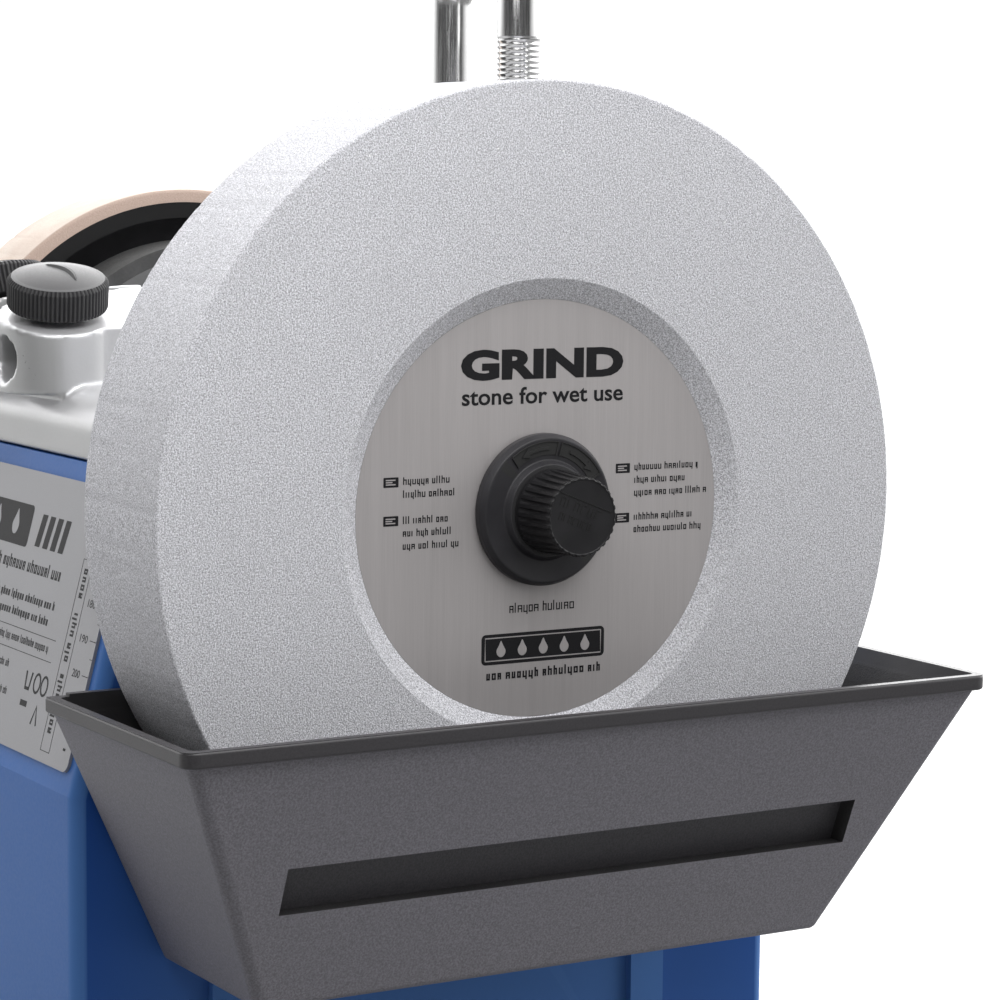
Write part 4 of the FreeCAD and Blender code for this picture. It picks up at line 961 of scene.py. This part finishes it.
def make_support_bar():
    low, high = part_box("support_bar")
    rod_r = 6.0 * MM
    axis_y = (low.y + high.y) / 2
    bar_z = high.z - rod_r
    far_x = low.x + rod_r
    near_x = far_x + LEG_SPACING * MM
    bend = BAR_BEND * MM
    chamfer = ROD_CHAMFER * MM
    points = [Vector((far_x, axis_y, z)) for z in (low.z, low.z + chamfer, bar_z - bend - 1.0 * MM)]
    for step in range(15):
        angle = math.pi / 2 * step / 14
        points.append(Vector((far_x + bend * (1 - math.cos(angle)), axis_y,
                              bar_z - bend + bend * math.sin(angle))))
    points += [Vector((x, axis_y, bar_z)) for x in (near_x + 8.0 * MM, high.x - chamfer, high.x)]
    last = len(points) - 1

    def rod_radius(index, angle):
        return rod_r - (chamfer if index in (0, last) else 0.0)

    shapes = [tube(points, rod_radius, 64)]
    # near leg: threaded above the guide, plain at the top where it is welded on
    thread_from = low.z / MM + 60.0
    thread_to = bar_z / MM - 24.0
    rings = int((thread_to - thread_from + 4) / THREAD_RING)
    levels = [low.z, low.z + chamfer]
    levels += [(thread_from - 2 + THREAD_RING * ring) * MM for ring in range(rings)]
    levels += [bar_z - 9.0 * MM, bar_z - 2.0 * MM]

    def thread_radius(index, angle):
        if index in (0, len(levels) - 1):
            return rod_r - chamfer
        z = levels[index] / MM
        run_in = min(1.0, max(0.0, (z - thread_from) / 1.5))
        run_out = min(1.0, max(0.0, (thread_to - z) / 1.5))
        turn = (z / THREAD_PITCH - angle / (2 * math.pi)) % 1.0
        return rod_r - THREAD_DEPTH * MM * run_in * run_out * abs(turn - 0.5) * 2

    shapes.append(tube([Vector((near_x, axis_y, z)) for z in levels], thread_radius, 48))
    shapes.append(weld_bead(Vector((near_x, axis_y, bar_z))))
    piece = add_mesh("tool_support_rod", *gather(shapes), MATERIALS["bright_steel"], "support", 40)
    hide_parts("support_bar")


def weld_bead(joint):
    """Rippled bead where the near leg meets the bar from below, following the bar's round underside."""
    rings = 96
    corners = 8
    bead_r = 1.5
    rod_r = 6.0
    verts = []
    for ring in range(rings):
        angle = 2 * math.pi * ring / rings
        saddle = joint.z / MM - math.sqrt(max(0.0, rod_r ** 2 - (6.4 * math.sin(angle)) ** 2)) - 0.4
        swell = 1.0 + 0.12 * math.sin(ring * 2 * math.pi / 8)
        for corner in range(corners):
            turn = 2 * math.pi * corner / corners
            radius = (rod_r + 0.3 + bead_r * swell * math.cos(turn)) * MM
            height = (saddle + bead_r * 0.8 * swell * math.sin(turn)) * MM
            verts.append(Vector((joint.x + radius * math.cos(angle),
                                 joint.y + radius * math.sin(angle), height)))
    return verts, skin(rings, corners, loop=True)


LOCK_KNOB_R = 12.8
LOCK_KNOB_H = 8.4
KNURLS = 70
COLLAR_H = 1.6
RIDGE_TURN_DEG = -62


def clamp_knob_shapes(place):
    """Knurled clamp knob standing on its collar, axis up the local Z, in millimetres."""
    crown = LOCK_KNOB_H + 1.15
    profile = mm_profile([
        (-COLLAR_H, 4.0, 0.0), (-COLLAR_H, 7.0, 0.3), (0.0, 7.0, 0.0), (0.0, LOCK_KNOB_R - 0.4, 0.5),
        (1.0, LOCK_KNOB_R, 0.2), (LOCK_KNOB_H - 1.4, LOCK_KNOB_R, 0.5),
        (LOCK_KNOB_H - 0.35, LOCK_KNOB_R - 0.9, 0.7), (LOCK_KNOB_H - 0.15, LOCK_KNOB_R - 2.2, 0.5),
        (LOCK_KNOB_H + 0.7, LOCK_KNOB_R * 0.55, 0.0), (crown, 0.0, 0.0), (6.0, 0.0, 0.0), (6.0, 4.0, 0.0)], 4)

    def knurled(angle, height, radius):
        if radius < (LOCK_KNOB_R - 1.0) * MM or height < 0:
            return radius
        across = (angle / (2 * math.pi) * KNURLS) % 1.0
        return radius - 0.36 * MM * (0.5 + 0.5 * math.cos(across * 2 * math.pi)) ** 1.5

    shapes = [lathe(profile, segments_for(KNURLS * 8), place, knurled)]
    # curved finger ridge on the domed top
    verts = []
    steps = 16
    for index in range(steps + 1):
        t = index / steps * 2 - 1
        swell = math.sqrt(max(0.0, 1 - t * t))
        middle_x = 7.4 * t
        middle_y = 2.6 - 2.0 * t * t
        half = 1.15 * swell + 0.05
        dome = crown - 0.45 * ((middle_x ** 2 + middle_y ** 2) / (LOCK_KNOB_R * 0.55) ** 2) - 0.25
        rise = 0.2 + 0.6 * swell
        for offset, lift in ((half, 0.0), (half * 0.5, rise), (-half * 0.2, rise), (-half, 0.0)):
            verts.append(place @ Vector((middle_x * MM, (middle_y + offset) * MM, (dome + lift) * MM)))
    shapes.append((verts, skin(steps + 1, 4)))
    return shapes


def make_clamp_knobs():
    """Each knob stands on its own joint axis, at the distance the CAD knob has."""
    for row in ("front", "rear"):
        for side in ("near", "far"):
            body = row + "_clamp_" + side
            node = row + "_lock_knob_" + side
            joint = next(joint for joint in frame["joints"] if joint["child"] == body)
            axis = Vector(joint["axis"]).normalized()
            foot = Vector(joint["pos_m"])
            verts = [vert.co for vert in frame["nodes"][node].data.vertices]
            lowest = min((vert - foot).dot(axis) for vert in verts)
            place = axis_frame(foot + axis * (lowest + COLLAR_H * MM), axis)
            place = place @ Matrix.Rotation(math.radians(RIDGE_TURN_DEG), 4, "Z")
            shapes = gather(clamp_knob_shapes(place))
            piece = add_mesh(node + "_grip", *shapes, MATERIALS["knob_plastic"], body, 32)
            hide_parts(node)


def make_cast_top():
    """The casting again, with the soft blends of a die casting between its bosses and its lid."""
    source = frame["nodes"]["cast_top"]
    mesh = source.data.copy()
    mesh.name = "cast_top_casting"
    mesh.materials.clear()
    piece = new_object("cast_top_casting", mesh)
    remesh = piece.modifiers.new("skin", "REMESH")
    remesh.mode = "VOXEL"
    remesh.voxel_size = 0.8 * MM
    soften = piece.modifiers.new("blend", "LAPLACIANSMOOTH")
    soften.iterations = 3
    soften.lambda_factor = 1.4
    soften.lambda_border = 0.0
    baked = finished_mesh(piece)
    piece.modifiers.clear()
    piece.data = baked
    baked.materials.clear()
    baked.materials.append(MATERIALS["zinc"])
    for polygon in baked.polygons:
        polygon.use_smooth = True
    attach(piece, "machine")
    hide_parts("cast_top")


# ---- Stage, light, camera ----
FLOOR_HALF = 40.0
# how much light the floor sends back up, behind and in front of the machine
FLOOR_BOUNCE_BACK = 0.5
FLOOR_BOUNCE_FRONT = 0.15
# the room's even light, and its broad soft sources: direction, strength, and the cosine where each fades out
AMBIENT = 0.05
SOFT_SOURCES = (((-0.85, 0.1, 0.4), 1.95, 0.2), ((0.1, 0.95, 0.3), 1.75, 0.45),
                ((-0.55, 0.75, 0.35), 2.3, 0.45))
SOFT_FULL = 0.95
BACKDROP_SEEN = 1.05
# square soft boxes: name, power, place from the point they aim at, side
AIM = Vector((0.05, 0.0, 0.16))
KEYS = (("key", 4.9, (0.62, 0.05, 0.75), 0.6), ("top_key", 0.35, (0.18, -0.10, 0.40), 0.35),
        ("side_key", 0.8, (0.26, -0.28, 0.34), 0.3))


def make_stage():
    """Pale floor, which looks even to the camera and bounces less light in front of the machine."""
    g = Graph("studio_floor")
    grain = g.noise(3.0, 3.0)
    pale = g.blend(g.noise(240.0), grey(0.88), grey(0.91))
    along = g.remap(g.axis("X", g.coordinates), -0.35, 0.35)
    bounce = g.mix(along, grey(FLOOR_BOUNCE_BACK), grey(FLOOR_BOUNCE_FRONT))
    g.set(Base_Color=g.mix(g.camera_ray(), bounce, pale), Roughness=g.spread(grain, 0.8, 0.9))
    mesh = bpy.data.meshes.new("studio_floor")
    corners = [(x * FLOOR_HALF, y * FLOOR_HALF, 0) for x, y in ((-1, -1), (1, -1), (1, 1), (-1, 1))]
    mesh.from_pydata(corners, [], [(0, 1, 2, 3)])
    mesh.materials.append(g.material)
    floor = new_object("studio_floor", mesh)


def add_soft_box(name, energy, place, target, side):
    data = bpy.data.lights.new(name, "AREA")
    data.energy = energy
    data.shape = "RECTANGLE"
    data.size = side
    data.size_y = side
    lamp = new_object(name, data)
    lamp.location = place
    lamp.rotation_mode = "QUATERNION"
    lamp.rotation_quaternion = (target - place).to_track_quat("-Z", "Y")


def make_light():
    """Broad soft sources round the back of the room, soft boxes above in front, and a white backdrop."""
    g = Graph("studio", bpy.data.worlds, "Generated")
    bpy.context.scene.world = g.material
    total = AMBIENT
    for side, strength, edge in SOFT_SOURCES:
        toward = g.dot(g.coordinates, Vector(side).normalized())
        total = g.math("ADD", total, g.remap(toward, edge, SOFT_FULL, 0.0, strength, "SMOOTHSTEP"))
    around = g.nodes["Background"]
    backdrop = g.nodes.new("ShaderNodeBackground")
    for shader, strength in ((around, total), (backdrop, BACKDROP_SEEN)):
        shader.inputs["Color"].default_value = (1.0, 1.0, 1.0, 1.0)
        g.put(shader.inputs["Strength"], strength)
    choose = g.nodes.new("ShaderNodeMixShader")
    g.put(choose.inputs["Fac"], g.camera_ray())
    g.put(choose.inputs[1], around.outputs["Background"])
    g.put(choose.inputs[2], backdrop.outputs["Background"])
    g.put(g.nodes["World Output"].inputs["Surface"], choose.outputs["Shader"])
    for name, power, offset, side in KEYS:
        add_soft_box(name, power, AIM + Vector(offset), AIM, side)


# camera: place from the middle of the stone's face, direction below the horizon, roll, and lens
CAMERA_OFFSET = Vector((0.59507, -0.36544, 0.08008))
CAMERA_YAW = math.radians(30.633)
CAMERA_PITCH = math.radians(6.354)
CAMERA_ROLL = math.radians(0.5565)
LENS = 108.13


def make_camera():
    data = bpy.data.cameras.new("camera")
    data.lens = LENS
    data.sensor_width = 36.0
    data.clip_start = 0.01
    data.clip_end = 100.0
    camera = new_object("camera", data)
    camera.location = Vector((STONE_FACE_X, SHAFT_Y, SHAFT_Z)) + CAMERA_OFFSET
    level = math.cos(CAMERA_PITCH)
    look = Vector((-math.cos(CAMERA_YAW) * level, math.sin(CAMERA_YAW) * level, -math.sin(CAMERA_PITCH)))
    camera.rotation_mode = "QUATERNION"
    camera.rotation_quaternion = look.to_track_quat("-Z", "Y") @ Quaternion((0, 0, 1), CAMERA_ROLL)
    bpy.context.scene.camera = camera


dress_cad_nodes()
make_grindstone()
make_lock_flange()
make_lock_knob()
make_disc_print()
make_label_print()
make_leather()
make_support_bar()
make_clamp_knobs()
make_cast_top()
make_stage()
make_light()
make_camera()
bpy.context.scene.view_settings.view_transform = "Standard"
